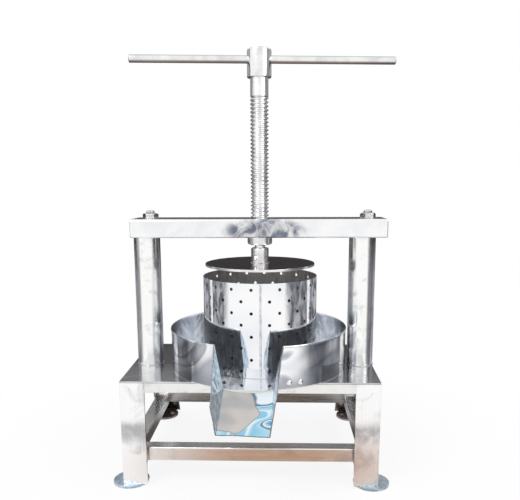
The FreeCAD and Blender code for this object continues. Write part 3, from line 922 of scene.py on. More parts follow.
class Piece:
    """A mesh under construction, in mm and in the row frame."""

    def __init__(self, name: str) -> None:
        """Start an empty mesh.

        Args:
            name: The name of the piece.
        """
        self.name = name
        self.mesh = bmesh.new()
        self.level = True

    def grid(self, rows: Sequence[Sequence[Vector]], round_rows: bool = False,
             round_columns: bool = False) -> None:
        """Join rows of points into faces.

        Args:
            rows: Rows of equally many points, in mm.
            round_rows: Whether each row closes on itself.
            round_columns: Whether the last row joins the first.
        """
        verts = [[self.mesh.verts.new(point) for point in row] for row in rows]
        count = len(rows[0])
        for i in range(len(rows) if round_columns else len(rows) - 1):
            low, high = verts[i], verts[(i + 1) % len(rows)]
            for j in range(count if round_rows else count - 1):
                k = (j + 1) % count
                self.mesh.faces.new((low[j], low[k], high[k], high[j]))

    def fill(self, ring: Sequence[Vector]) -> None:
        """Close a flat outline with one face.

        Args:
            ring: The outline's points, in mm.
        """
        self.mesh.faces.new([self.mesh.verts.new(point) for point in ring])

    def thicken(self, inward: Callable[[Vector], Vector]) -> None:
        """Give an open sheet its thickness.

        Args:
            inward: Gives the point under each point of the sheet.
        """
        bmesh.ops.remove_doubles(self.mesh, verts=self.mesh.verts, dist=1e-3)
        faces = list(self.mesh.faces)
        edges = [edge for edge in self.mesh.edges if edge.is_boundary]
        under = {vert: self.mesh.verts.new(inward(vert.co)) for vert in list(self.mesh.verts)}
        for face in faces:
            self.mesh.faces.new([under[vert] for vert in reversed(face.verts)]).material_index = 1
        for edge in edges:
            first, second = edge.verts
            self.mesh.faces.new((first, second, under[second], under[first])).material_index = 2

    def turn(self, profile: Sequence[Point], centre: Point, steps: int = 96) -> None:
        """Turn an outline about an upright axis.

        Args:
            profile: Points as radius and height, in mm.
            centre: Place of the axis, in mm.
            steps: Points round the axis.
        """
        self.grid([circle(centre, radius, z, steps) for radius, z in profile], round_rows=True)

    def bead(self, path: Sequence[Vector], width: float, closed: bool = False) -> None:
        """Lay a rippled weld bead along a path.

        Args:
            path: Points of the bead's middle line, a bead step apart.
            width: Width of the bead, in mm.
            closed: Whether the path closes on itself.
        """
        rows, count, sides, per_ripple, tip = [], len(path), 10, 4, 0.3
        for i, middle in enumerate(path):
            before = path[i - 1] if closed or i else path[0]
            after = path[(i + 1) % count] if closed or i < count - 1 else path[-1]
            along = (after - before).normalized()
            side = along.orthogonal().normalized()
            other = along.cross(side)
            swell = width / 2 * (1 - BEAD_RIPPLE + BEAD_RIPPLE * math.cos(math.tau * i / per_ripple))
            if not closed and i in (0, count - 1):
                swell *= tip
            rows.append([middle + side * swell * math.cos(math.tau * k / sides)
                         + other * swell * math.sin(math.tau * k / sides) for k in range(sides)])
        self.grid(rows, round_rows=True, round_columns=closed)
        if not closed:
            self.fill(rows[0])
            self.fill(rows[-1])

    def bead_along(self, start: Vector, end: Vector, width: float) -> None:
        """Lay a weld bead along a straight line.

        Args:
            start: Its first point, in mm.
            end: Its last point, in mm.
            width: Width of the bead, in mm.
        """
        count = max(2, round((end - start).length / BEAD_STEP))
        self.bead([start.lerp(end, i / count) for i in range(count + 1)], width)

    def bead_round(self, centre: Point, radius: float, z: float, width: float) -> None:
        """Lay a weld bead round a level circle, with whole ripples.

        Args:
            centre: Place of the circle's middle, in mm.
            radius: Its radius, in mm.
            z: Its height, in mm.
            width: Width of the bead, in mm.
        """
        count = round(math.tau * radius / BEAD_STEP / 4) * 4
        self.bead(circle(centre, radius, z, count), width, closed=True)

    def placed(self, matrix: Matrix) -> None:
        """Move the whole mesh by a matrix in mm."""
        bmesh.ops.transform(self.mesh, matrix=matrix, verts=self.mesh.verts)

    def laid(self, place: Sequence[float], angle: float) -> None:
        """Tip an upright mesh so that it lies level, turn it and move it.

        Args:
            place: Where its origin goes, in mm.
            angle: Direction of its upper end from +X, in degrees.
        """
        level = Matrix.Rotation(math.radians(90), 4, "Y")
        turned = Matrix.Rotation(math.radians(angle), 4, "Z")
        self.placed(Matrix.Translation(place) @ turned @ level)

    def settle(self) -> bpy.types.Mesh:
        """Turn the mesh under construction into a finished one, in metres.

        Returns:
            The mesh.
        """
        bmesh.ops.recalc_face_normals(self.mesh, faces=self.mesh.faces)
        bmesh.ops.scale(self.mesh, vec=(MM, MM, MM), verts=self.mesh.verts)
        data = bpy.data.meshes.new(self.name)
        self.mesh.to_mesh(data)
        self.mesh.free()
        return data

    def finish(self, material: Material | Sequence[Material], body: str, slot: str,
               *nodes: str) -> bpy.types.Object:
        """Turn the mesh into a scene object on its body.

        Args:
            material: Its finish, or the finishes that its faces' material indices name.
            body: The CAD body that it rides on.
            slot: The record's material slot; not used.
            *nodes: The CAD nodes that it stands for.

        Returns:
            The new object.
        """
        bmesh.ops.remove_doubles(self.mesh, verts=self.mesh.verts, dist=1e-3)
        bmesh.ops.dissolve_degenerate(self.mesh, edges=self.mesh.edges, dist=1e-4)
        data = self.settle()
        data.shade_smooth()
        data.set_sharp_from_angle(angle=SMOOTH_BELOW)
        for one in (material if isinstance(material, Sequence) else (material,)):
            data.materials.append(one)
        piece = put(self.name, data)
        if self.level:
            level_shading(piece)
        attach(piece, body)
        if nodes:
            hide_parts(*nodes)
        LOG.info("%s on %s, %d faces", self.name, body, len(data.polygons))
        return piece


def level_shading(piece: bpy.types.Object) -> None:
    """Keep large flat faces flat to the eye where small rounded edges meet them."""
    normals = piece.modifiers.new("level_shading", "WEIGHTED_NORMAL")
    normals.keep_sharp = True


def dress(node: str, material: Material, edge: float = 0.6, segments: int = 2) -> None:
    """Give a CAD node its finish and soft edges.

    Args:
        node: The node's name.
        material: Its finish.
        edge: Width of its rounded edges, in mm.
        segments: Steps across an edge.
    """
    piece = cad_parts[node]
    piece.data.materials.clear()
    piece.data.materials.append(material)
    weld = piece.modifiers.new("joined", "WELD")
    weld.merge_threshold = 0.00001
    bevel = piece.modifiers.new("edges", "BEVEL")
    bevel.width, bevel.segments, bevel.angle_limit = edge * MM, segments, ROUND_ABOVE
    bevel.limit_method = "ANGLE"
    level_shading(piece)
    LOG.info("%s dressed", node)


def cut(piece: bpy.types.Object, cutter: Piece) -> None:
    """Cut a hole into a piece and apply it.

    Args:
        piece: The piece that gets the hole.
        cutter: The shape of the hole.
    """
    tool = put(cutter.name, cutter.settle())
    hole = piece.modifiers.new("hole", "BOOLEAN")
    hole.object, hole.operation, hole.solver = tool, "DIFFERENCE", "EXACT"
    graph = bpy.context.evaluated_depsgraph_get()
    result = bpy.data.meshes.new_from_object(piece.evaluated_get(graph), depsgraph=graph)
    piece.modifiers.clear()
    piece.data = result
    result.set_sharp_from_angle(angle=SMOOTH_BELOW)
    level_shading(piece)
    bpy.data.objects.remove(tool)


@dataclass
class Table:
    """The low table: top plate, legs, edge bars, stretchers and feet. Sizes in mm."""

    half_width: float = 215.0
    front: float = -172.0
    top: float = 185.0
    leg_flange: float = 41.0
    foot_r: float = 30.5
    foot_t: float = 4.0
    foot_bevel: float = 0.8
    foot_x: float = 206.0
    foot_y: float = 151.5
    hole_x: float = 188.0
    hole_r: float = 4.5
    leg_t: float = 4.0
    stretcher_z: float = 41.0
    stretcher: float = 24.0

    def build(self) -> None:
        """Dress the table's nodes and add its feet and welds."""
        upright = GroundStainless(Grain.ALONG_Z, darkening=0.6).build()
        # rear legs: a darker copy of the finish, with painted shade that deepens toward the floor
        rear_shaded = GroundStainless(Grain.ALONG_Z, bright="#d4d2d1", smoky="#8f8d8d", darkened="#5a524e",
                                  darkening=1.0, darkening_z=0.0, darkening_reach=130.0).build()
        across = GroundStainless(Grain.ALONG_X, bright="#eeeeec").build()
        deep = GroundStainless(Grain.ALONG_Y).build()
        for side in ("left", "right"):
            dress("leg_front_" + side, upright, edge=1.2, segments=3)
            dress("leg_rear_" + side, rear_shaded, edge=1.2, segments=3)
            dress("skirt_" + side, deep)
            dress("stretcher_" + side, deep, edge=2.0, segments=3)
        for place in ("front", "rear"):
            dress("skirt_" + place, across)
            dress("stretcher_" + place, across, edge=2.0, segments=3)
        dress("cross_bearer", across, edge=2.0, segments=3)
        dress("top_plate", BuffedPlate().build(), edge=0.7)
        # the rear feet carry painted shade
        for place, end, foot in (("front", -1, WashedFoot().build()), ("rear", 1, ShadedRearFoot().build())):
            for name, side in (("left", -1), ("right", 1)):
                self.add_foot(f"foot_{place}_{name}", side, end, foot)
        self.add_welds(WeldBead().build())

    def add_foot(self, node: str, side: int, end: int, material: Material) -> None:
        """Model one round foot plate with its bolt hole.

        Args:
            node: The CAD node that it stands for.
            side: -1 at the left, 1 at the right.
            end: -1 at the front, 1 at the rear.
            material: Its finish.
        """
        piece = Piece(node + "_plate")
        middle = (side * self.foot_x, end * self.foot_y)
        hole = (side * self.hole_x, end * self.foot_y)
        top, bevel, corner = self.foot_t, self.foot_bevel, self.foot_bevel * 0.3
        piece.grid([circle(centre, radius, z, 96) for centre, radius, z in (
            (hole, self.hole_r, 0.0), (middle, self.foot_r, 0.0), (middle, self.foot_r, top - bevel),
            (middle, self.foot_r - corner, top - corner), (middle, self.foot_r - bevel, top),
            (hole, self.hole_r, top))], round_rows=True, round_columns=True)
        piece.finish(material, "frame", "frame_steel", node)

    def add_welds(self, material: Material) -> None:
        """Lay the beads between stretcher and legs, and between legs and feet.

        Args:
            material: The beads' finish.
        """
        piece = Piece("table_welds")
        behind, low, high = self.front + self.leg_t + 0.6, self.stretcher_z, self.stretcher_z + self.stretcher
        for side in (-1, 1):
            inner, outer = side * (self.half_width - self.leg_flange), side * self.half_width
            piece.bead_along(Vector((inner, behind, low)), Vector((inner, behind, high)), 1.6)
            piece.bead_along(Vector((inner, self.front, self.foot_t)),
                             Vector((outer, self.front, self.foot_t)), 1.8)
        piece.finish(material, "frame", "frame_steel")


@dataclass
class Head:
    """The columns, the crosshead with its long nut, and the tie rods. Sizes in mm."""

    table_top: float = 185.0
    axis: Point = AXIS
    column_x: float = 4.5
    head_x: float = 12.5
    span: float = 378.0
    column_r: float = 23.0
    column_wall: float = 2.0
    beam_z: float = 414.0
    beam_h: float = 32.0
    beam_w: float = 70.0
    beam_l: float = 438.0
    beam_round: float = 4.0
    cap_t: float = 3.0
    boss_r: float = 21.5
    boss_z: float = 400.0
    bore_r: float = 15.5
    rod_r: float = 8.0
    rod_hole_r: float = 8.3
    rod_tip: float = 5.5
    thread_pitch: float = 2.0
    thread_depth: float = 1.0
    thread_below: float = 24.0     # length of the rods' lower threads
    thread_above: float = 20.0     # length of the rods' upper threads
    nut_flats: float = 24.0
    nut_h: float = 8.5
    nut_turn: float = 35.0         # degrees from +X to the middle of a flat
    bearer_z: float = 152.0
    washer_r: float = 15.0
    washer_t: float = 3.0

    def build(self) -> None:
        """Model the head's pieces."""
        tube = PolishedTube().build()
        beam = PolishedBeam().build()
        fastener = PlainFastener().build()
        weld = WeldBead().build()
        top = self.beam_z + self.beam_h
        for name, side in (("left", -1), ("right", 1)):
            x = self.column_x + side * self.span / 2
            column = Piece("column_tube_" + name)
            inner = self.column_r - self.column_wall
            column.turn([(inner, self.table_top), (self.column_r, self.table_top),
                         (self.column_r, self.beam_z), (inner, self.beam_z), (inner, self.table_top)],
                        (x, self.axis[1]), 128)
            column.finish(tube, "frame", "head_steel", "column_" + name)
            bead = Piece("column_weld_" + name)
            bead.bead_round((x, self.axis[1]), self.column_r + 0.2, self.table_top + 0.2, 2.2)
            bead.finish(weld, "frame", "head_steel")
            rod_x = self.head_x + side * self.span / 2
            self.add_rod(name, rod_x, top, fastener)
            self.add_nut("top_nut_" + name, rod_x, top, fastener)
            self.add_nut("lower_nut_" + name, rod_x, self.bearer_z - self.washer_t - self.nut_h, fastener)
            washer = Piece("washer_" + name)
            low = self.bearer_z - self.washer_t
            washer.turn([(self.rod_r, low), (self.washer_r, low), (self.washer_r, self.bearer_z),
                         (self.rod_r, self.bearer_z), (self.rod_r, low)], (rod_x, self.axis[1]), 64)
            washer.finish(fastener, "frame", "fastener_steel", "lower_washer_" + name)
        self.add_beam(beam)
        self.add_screw_nut(TurnedSteel(Grain.ALONG_Z, rough=(0.2, 0.32)).build(), weld)

    def section(self, x: float, shrink: float = 0.0) -> list[Vector]:
        """Rounded outline of the crosshead at one place.

        Args:
            x: Place along the beam, in mm.
            shrink: How far the outline lies inside the outer one.

        Returns:
            The outline's points.
        """
        points = []
        radius = max(self.beam_round - shrink, 1.0)
        half_w, half_h = self.beam_w / 2 - shrink - radius, self.beam_h / 2 - shrink - radius
        middle = Vector((x, self.axis[1], self.beam_z + self.beam_h / 2))
        for corner, (across, up) in enumerate(((1, 1), (-1, 1), (-1, -1), (1, -1))):
            for k in range(7):
                angle = math.radians(90 * corner + 15 * k)
                points.append(middle + Vector((0.0, across * half_w + radius * math.cos(angle),
                                               up * half_h + radius * math.sin(angle))))
        return points

    def add_beam(self, material: Material) -> None:
        """Model the crosshead's tube and its two end caps.

        Args:
            material: Their finish.
        """
        half = self.beam_l / 2
        tube = Piece("crosshead_tube")
        inner = half - self.cap_t
        low, high = self.head_x - inner, self.head_x + inner
        count = 60
        tube.grid([self.section(low + (high - low) * k / count) for k in range(count + 1)]
                  + [self.section(high, 3.0), self.section(low, 3.0)], round_rows=True, round_columns=True)
        body = tube.finish(material, "frame", "head_steel", "crosshead")
        for name, side in (("left", -1), ("right", 1)):
            cap = Piece("crosshead_end_" + name)
            start, end = self.head_x + side * inner, self.head_x + side * half
            rows = [self.section(start), self.section(end - side * 2.2), self.section(end - side * 0.9, 0.35),
                    self.section(end - side * 0.25, 1.0), self.section(end, 2.2)]
            cap.grid(rows, round_rows=True)
            cap.fill(rows[0])
            cap.fill(rows[-1])
            cap.finish(material, "frame", "head_steel", "crosshead_cap_" + name)
            self.drill(body, (self.head_x + side * self.span / 2, self.axis[1]), self.rod_hole_r, 48)
        self.drill(body, self.axis, self.boss_r, 96)

    def drill(self, beam: bpy.types.Object, centre: Point, radius: float, steps: int) -> None:
        """Cut an upright hole through the crosshead.

        Args:
            beam: The crosshead's tube.
            centre: Place of the hole, in mm.
            radius: Its radius, in mm.
            steps: Points round it.
        """
        cutter = Piece("drill")
        low, high = self.beam_z - 5, self.beam_z + self.beam_h + 5
        cutter.turn([(0.01, low), (radius, low), (radius, high), (0.01, high)], centre, steps)
        cut(beam, cutter)

    def add_screw_nut(self, material: Material, weld: Material) -> None:
        """Model the long nut and the bead that holds it under the crosshead.

        Args:
            material: The nut's finish.
            weld: The bead's finish.
        """
        nut = Piece("screw_nut_turned")
        top = self.beam_z + self.beam_h
        nut.turn([(self.bore_r, self.boss_z), (self.boss_r - 3.0, self.boss_z),
                  (self.boss_r - 1.2, self.boss_z + 0.9), (self.boss_r, self.boss_z + 3.0),
                  (self.boss_r, top), (self.bore_r, top), (self.bore_r, self.boss_z)], self.axis, 96)
        nut.finish(material, "frame", "head_steel", "screw_nut")
        bead = Piece("nut_weld")
        bead.bead_round(self.axis, self.boss_r + 0.2, self.beam_z - 0.2, 2.0)
        bead.finish(weld, "frame", "head_steel")

    def add_rod(self, name: str, x: float, top: float, material: Material) -> None:
        """Model one tie rod with its threaded ends.

        Args:
            name: Side of the press.
            x: Place of the rod, in mm.
            top: Height of the crosshead's top, in mm.
            material: Its finish.
        """
        low = self.bearer_z - self.washer_t - self.nut_h - self.rod_tip
        high = top + self.nut_h + self.rod_tip
        rod = Piece("tie_rod_threaded_" + name)
        rod.level = False
        valley, plain_end = self.rod_r - self.thread_depth, 2.4
        profile = [(0.0, low), (self.rod_r - 1.5, low)]
        for start, end in ((low, low + self.thread_below), (high - self.thread_above, high)):
            z = start + 1.0
            while z < end - plain_end:
                profile += [(valley, z), (self.rod_r, z + self.thread_pitch / 2)]
                z += self.thread_pitch
        profile += [(valley, high - 1.6), (self.rod_r - 2.0, high - 0.6), (self.rod_r - 3.6, high),
                    (0.0, high)]
        rod.turn(profile, (x, self.axis[1]), 48)
        rod.finish(material, "frame", "fastener_steel", "tie_rod_" + name)

    def add_nut(self, node: str, x: float, low: float, material: Material) -> None:
        """Model one hexagon nut with rounded corners.

        Args:
            node: The CAD node that it stands for.
            x: Place of the nut, in mm.
            low: Height of its lower face, in mm.
            material: Its finish.
        """
        nut = Piece(node + "_hexagon")
        steps, centre, half_side = 72, (x, self.axis[1]), math.radians(30)
        flat, corner = self.nut_flats / 2, self.nut_flats / 2 / math.cos(half_side)

        def ring(z: float, limit: float) -> list[Vector]:
            """Hexagon outline at one height, no farther out than the limit.

            Args:
                z: The height, in mm.
                limit: The greatest distance from the middle, in mm.

            Returns:
                The outline's points, in mm.
            """
            points = []
            for k in range(steps):
                angle = math.tau * k / steps
                past_flat = (angle - math.radians(self.nut_turn) + half_side) % math.radians(60)
                points.append(around(centre, min(flat / math.cos(past_flat - half_side), limit), angle, z))
            return points

        high = low + self.nut_h
        nut.grid([circle(centre, self.rod_r, low, steps), ring(low, flat - 0.4), ring(low + 0.3, flat + 0.1),
                  ring(low + 1.4, corner), ring(high - 1.4, corner), ring(high - 0.3, flat + 0.1),
                  ring(high, flat - 0.4), circle(centre, self.rod_r, high, steps)],
                 round_rows=True, round_columns=True)
        nut.finish(material, "frame", "fastener_steel", node)


@dataclass
class PressScrew:
    """The threaded spindle, its hub and the sliding handle bar. Sizes in mm."""

    axis: Point = AXIS
    thread_r: float = 15.4
    thread_depth: float = 2.6
    thread_pitch: float = 6.5
    thread_low: float = 402.0
    thread_high: float = 648.7
    neck_r: float = 9.0
    groove_r: float = 6.5
    groove_low: float = 374.0
    groove_high: float = 382.0
    tip: float = 372.3
    hub_z: float = 679.0
    hub_r: float = 20.5
    hub_h: float = 46.0
    spigot_r: float = 10.0
    spigot_h: float = 14.0
    bar_r: float = 6.5
    bar_l: float = 445.0
    bar_z: float = 708.0
    bar_offset: float = 7.5
    handle_turn: float = 5.0
    bar_hole_r: float = 6.55

    def build(self) -> None:
        """Model the screw's pieces."""
        turned = TurnedSteel(Grain.ALONG_Z).build()
        self.add_spindle(TurnedSteel(Grain.ALONG_Z, rough=(0.24, 0.34), ring=40.0).build())
        hub = Piece("hub_turned")
        top = self.hub_z + self.hub_h
        hub.turn([(self.spigot_r, self.hub_z), (self.hub_r - 1, self.hub_z),
                  (self.hub_r - 0.3, self.hub_z + 0.3), (self.hub_r, self.hub_z + 1),
                  (self.hub_r, top - 3), (self.hub_r - 0.9, top - 0.9),
                  (self.hub_r - 3, top), (0.0, top), (0.0, self.hub_z + self.spigot_h),
                  (self.spigot_r, self.hub_z + self.spigot_h), (self.spigot_r, self.hub_z)], self.axis, 128)
        body = hub.finish(turned, "screw", "turned_steel", "hub")
        cutter = Piece("bar_hole")
        self.lay_bar(cutter, self.bar_hole_r, 90.0, offset=0.0, bevel=0.0)
        cut(body, cutter)
        bar = Piece("handle_bar_turned")
        self.lay_bar(bar, self.bar_r, self.bar_l, self.bar_offset, bevel=1.0)
        # the handle bar gets painted shade on its underside and a painted reflection along its top
        dull = TurnedSteel(Grain.ALONG_X, ring=2.4, underside_shade=0.9, top_darkening=0.8).build()
        bar.finish(dull, "handle", "turned_steel", "handle_bar")

    def add_spindle(self, material: Material) -> None:
        """Model the spindle with a true right-hand thread.

        Args:
            material: Its finish.
        """
        spindle = Piece("spindle_threaded")
        spindle.level = False
        crest, valley = self.thread_r, self.thread_r - self.thread_depth
        turn = ((0.0, valley), (0.16, valley), (0.24, valley + 0.3), (0.40, crest - 0.35), (0.45, crest),
                (0.71, crest), (0.76, crest - 0.35), (0.92, valley + 0.3))
        steps, per_turn = 72, len(turn)
        turns = math.ceil((self.thread_high - self.thread_low) / self.thread_pitch) + 1
        rows = []
        for k in range(turns * per_turn + 1):
            share, radius = turn[k % per_turn]
            row = []
            for j in range(steps + 1):
                angle = math.tau * j / steps
                z = self.thread_low + self.thread_pitch * (k // per_turn + share - 1 + j / steps)
                row.append(around(self.axis, radius, angle, min(max(z, self.thread_low), self.thread_high)))
            rows.append(row)
        spindle.grid(rows)
        spindle.turn([(0.0, self.tip), (self.neck_r - 1, self.tip), (self.neck_r, self.tip + 1),
                      (self.neck_r, self.groove_low), (self.groove_r, self.groove_low),
                      (self.groove_r, self.groove_high), (self.neck_r, self.groove_high),
                      (self.neck_r, self.thread_low), (valley + 0.2, self.thread_low)], self.axis, steps)
        spindle.turn([(valley, self.thread_high - 0.01), (crest, self.thread_high), (crest, self.hub_z),
                      (self.spigot_r, self.hub_z), (self.spigot_r, self.hub_z + self.spigot_h),
                      (0.0, self.hub_z + self.spigot_h)], self.axis, steps)
        spindle.finish(material, "screw", "turned_steel", "spindle")

    def lay_bar(self, piece: Piece, radius: float, length: float, offset: float, bevel: float) -> None:
        """Add a round bar along the handle's direction.

        Args:
            piece: The mesh that gets the bar.
            radius: Its radius, in mm.
            length: Its length, in mm.
            offset: How far its middle lies beyond the screw's axis, in mm.
            bevel: Width of the bevel at its ends, in mm.
        """
        low, high = offset - length / 2, offset + length / 2
        profile = [(0.001, low), (radius - bevel, low), (radius, low + bevel),
                   (radius, high - bevel), (radius - bevel, high), (0.001, high)]
        piece.turn(profile, (0.0, 0.0), 64)
        piece.laid((*self.axis, self.bar_z), self.handle_turn)


@dataclass
class PressHead:
    """The press plate with the collar and screws that hold the spindle's end. Sizes in mm."""

    axis: Point = AXIS
    plate_r: float = 95.8
    plate_t: float = 4.0
    plate_top: float = 368.0
    collar_r: float = 15.4
    collar_h: float = 26.5
    collar_floor: float = 4.0
    bore_r: float = 9.08
    pin_rise: float = 10.0
    pin_angles: Pair = (241.0, 61.0)
    pin_head_r: float = 5.0
    pin_head_t: float = 3.2
    pin_r: float = 2.5
    pin_tip: float = 6.9

    def build(self) -> None:
        """Model the press head's pieces."""
        top, bevel = self.plate_top, 0.6
        plate = Piece("press_plate_faced")
        low = top - self.plate_t
        plate.turn([(0.0, low), (self.plate_r - bevel, low), (self.plate_r - 0.15, low + 0.15),
                    (self.plate_r, low + bevel), (self.plate_r, top - bevel),
                    (self.plate_r - 0.15, top - 0.15), (self.plate_r - bevel, top), (0.0, top)],
                   self.axis, 192)
        for face in plate.mesh.faces:
            middle = face.calc_center_median() - Vector((*self.axis, 0.0))
            face.material_index = int(middle.to_2d().length > self.plate_r - bevel)
        turned = TurnedSteel(Grain.ALONG_Z, rough=(0.2, 0.32)).build()
        plate.finish((FacedSteel(self.axis).build(), turned), "press_head", "turned_steel", "press_plate")
        collar = Piece("thrust_collar_turned")
        high, floor = top + self.collar_h, top + self.collar_floor
        collar.turn([(0.0, top), (self.collar_r, top), (self.collar_r, high - 2),
                     (self.collar_r - 0.6, high - 0.6), (self.collar_r - 2, high), (self.bore_r, high),
                     (self.bore_r, floor), (0.0, floor)], self.axis, 96)
        collar.finish(turned, "press_head", "turned_steel", "thrust_collar")
        bead = Piece("collar_weld")
        bead.bead_round(self.axis, self.collar_r + 0.3, top + 0.2, 1.8)
        bead.finish(WeldBead().build(), "press_head", "turned_steel")
        for number, angle in enumerate(self.pin_angles, 1):
            self.add_pin(number, angle)

    def add_pin(self, number: int, angle: float) -> None:
        """Model one round-head screw of the collar.

        Args:
            number: Number of the screw.
            angle: Direction of the screw, in degrees.
        """
        screw = Piece("retaining_screw_round_%d" % number)
        sunk, steps = 0.4, 8
        seat = self.collar_r - sunk
        profile = [(0.0, self.pin_tip), (self.pin_r, self.pin_tip), (self.pin_r, seat),
                   (self.pin_head_r, seat)]
        for k in range(1, steps + 1):
            rise = math.radians(90) * k / steps
            profile.append((self.pin_head_r * math.cos(rise),
                            seat + (self.pin_head_t + sunk) * math.sin(rise)))
        screw.turn(profile, (0.0, 0.0), 48)
        screw.laid((*self.axis, self.plate_top + self.pin_rise), angle)
        screw.finish(PlainFastener().build(), "press_head", "fastener_steel", "retaining_screw_%d" % number)


@dataclass
class Bowl:
    """The loose bowl with its rolled rim and folded spout. Sizes in mm."""

    centre: Point = (11.5, -59.5)
    turn: float = 4.3
    radius: float = 155.0
    low: float = 185.3
    sheet: float = 1.2
    height: float = 70.5
    rim_r: float = 1.5
    root_w: float = 79.0
    mouth_w: float = 108.0
    lip_w: float = 79.0
    lip_top_w: float = 94.0
    lip_z: float = 140.0
    lip_h: float = 43.5
    reach: float = 68.0
    inset: float = 8.0
    spout_t: float = 1.5
    wrinkle: float = 1.1
    wrinkle_size: float = 22.0
    weld_spots: tuple[Point, ...] = ((20.0, 195.0), (27.5, 194.0))

    def build(self) -> None:
        """Model the bowl's pieces."""
        mirror, edge = PaintedReflectionMirror().build(), ShearedEdge().build()
        self.add_wall(mirror, edge)
        floor = Piece("bowl_floor_sheet")
        low, high = self.low, self.low + self.sheet
        floor.turn([(0.0, low), (self.radius - 0.4, low), (self.radius, low + 0.4), (self.radius, high),
                    (0.0, high)], (0.0, 0.0), 192)
        floor.placed(self.place())
        floor.finish(MirrorSheet().build(), "bowl", "vessel_steel", "bowl_floor")
        self.add_spout(FilmedSheet().build(), edge)

    def place(self) -> Matrix:
        """Matrix from the bowl's own frame, spout to the front, to its place."""
        return Matrix.Translation((*self.centre, 0.0)) @ Matrix.Rotation(math.radians(-self.turn), 4, "Z")

    def mouth_angle(self, z: float) -> float:
        """Half the angle that the mouth takes from the wall at one height.

        Args:
            z: Height, in mm.

        Returns:
            The angle in radians.
        """
        base = self.low + self.sheet
        share = (z - base) / (self.low + self.height - base)
        half = (self.root_w + (self.mouth_w - self.root_w) * share) / 2
        return math.asin(half / self.radius)

    def add_wall(self, material: Material, edge: Material) -> None:
        """Model the round wall with its rolled rim.

        Args:
            material: Its finish outside.
            edge: Finish of its cut ends.
        """
        wall = Piece("bowl_wall_sheet")
        low, rim = self.low + self.sheet, self.low + self.height
        inner, outer = self.radius - self.sheet, self.radius
        middle_r, middle_z = (inner + outer) / 2, rim - self.rim_r
        curl, wall_steps, curl_steps = middle_z - 1.4, 8, 16
        profile = [(inner, low + (curl - low) * k / wall_steps) for k in range(wall_steps + 1)]
        for k in range(curl_steps + 1):
            angle = math.radians(246 - 312 * k / curl_steps)
            profile.append((middle_r + self.rim_r * math.cos(angle), middle_z + self.rim_r * math.sin(angle)))
        profile += [(outer, curl - (curl - low) * k / wall_steps) for k in range(wall_steps + 1)]
        steps, rows = 240, []
        for step in range(steps + 1):
            row = []
            for radius, z in profile:
                gap = self.mouth_angle(z)
                angle = math.radians(-90) + gap + (math.tau - 2 * gap) * step / steps
                row.append(around((0.0, 0.0), radius, angle, z))
            rows.append(row)
        wall.grid(rows, round_rows=True)
        wall.fill(rows[0])
        wall.fill(rows[-1])
        for face in wall.mesh.faces:
            middle = face.calc_center_median()
            face.material_index = 2 if len(face.verts) > 4 else int(middle.to_2d().length < inner + 0.1)
        wall.placed(self.place())
        wall.finish((material, WornMirror().build(), edge), "bowl", "vessel_steel", "bowl_wall")
        spots, steps = Piece("bowl_weld_spots"), 32
        dome = ((0.0, 0.9), (2.0, 0.8), (3.5, 0.45), (4.4, -0.2), (0.0, -0.2))
        for angle, z in self.weld_spots:
            spots.turn(dome, (0.0, 0.0), steps)
            new = spots.mesh.verts[-len(dome) * steps:]
            turn = Matrix.Rotation(math.radians(angle), 4, "Z") @ Matrix.Translation((0, -self.radius, z))
            facing = turn @ Matrix.Rotation(math.radians(90), 4, "X")
            bmesh.ops.transform(spots.mesh, verts=new, matrix=facing)
        spots.placed(Matrix.Translation((*self.centre, 0.0)))
        spots.finish(MirrorSheet().build(), "bowl", "vessel_steel")

    def trough_point(self, across: float, along: float, grow: float) -> Vector:
        """Point of the folded trough.

        Args:
            across: From 0 at the left top edge over 1 and 2 at the folds to 3 at the right top edge.
            along: From 0 at the root to 1 at the lip.
            grow: How far outside the inner surface the point lies, in mm.

        Returns:
            The point in the bowl's own frame.
        """
        rim, base = self.low + self.height, self.low + self.sheet
        floor_w = self.root_w + (self.lip_w - self.root_w) * along + 2 * grow
        top_w = self.mouth_w + (self.lip_top_w - self.mouth_w) * along + 2 * grow
        floor_z = base + (self.lip_z - base) * along - grow
        top_z = rim + (self.lip_z + self.lip_h - rim) * along
        y = self.inset - self.radius - (self.inset + self.reach) * along
        if across <= 1:
            return Vector((-top_w / 2, y, top_z)).lerp(Vector((-floor_w / 2, y, floor_z)), across)
        if across <= 2:
            return Vector((floor_w * (across - 1.5), y, floor_z))
        return Vector((floor_w / 2, y, floor_z)).lerp(Vector((top_w / 2, y, top_z)), across - 2)

    def add_spout(self, material: Material, edge: Material) -> None:
        """Model the folded spout, trimmed to the bowl and wrinkled as thin sheet is.

        Args:
            material: Its finish.
            edge: Finish of its cut edges.
        """
        spout = Piece("spout_sheet")
        across_steps, along_steps = 60, 36

        def start(across: float, grow: float) -> float:
            """Share of the length at which the trough leaves the bowl.

            Args:
                across: Place across the trough, from 0 to 3.
                grow: How far outside the inner surface it is measured, in mm.

            Returns:
                The share, from 0 at the root to 1 at the lip.
            """
            low, high = 0.0, 1.0
            for _ in range(30):
                middle = (low + high) / 2
                point = self.trough_point(across, middle, grow)
                if point.to_2d().length < self.radius:
                    low = middle
                else:
                    high = middle
            return high

        def surface(grow: float) -> list[list[Vector]]:
            """Rows of points across the trough, from the bowl to the lip.

            Args:
                grow: How far outside the inner surface the points lie, in mm.

            Returns:
                The rows of points, in the bowl's own frame.
            """
            begins = [start(3 * i / across_steps, grow) for i in range(across_steps + 1)]
            rows = []
            for j in range(along_steps + 1):
                row = []
                for i in range(across_steps + 1):
                    across, share = 3 * i / across_steps, j / along_steps
                    along = begins[i] + (1 - begins[i]) * share
                    point = self.trough_point(across, along, grow)
                    calm = min(1.0, 4 * share, 4 * abs(across - 1), 4 * abs(across - 2)) * self.wrinkle
                    wave = noise.noise(point / self.wrinkle_size) * calm
                    if 1 < across < 2:
                        point.z += wave * min(1.0, 4 * (across - 1), 4 * (2 - across))
                    else:
                        point.x += wave
                    row.append(point)
                rows.append(row)
            return rows

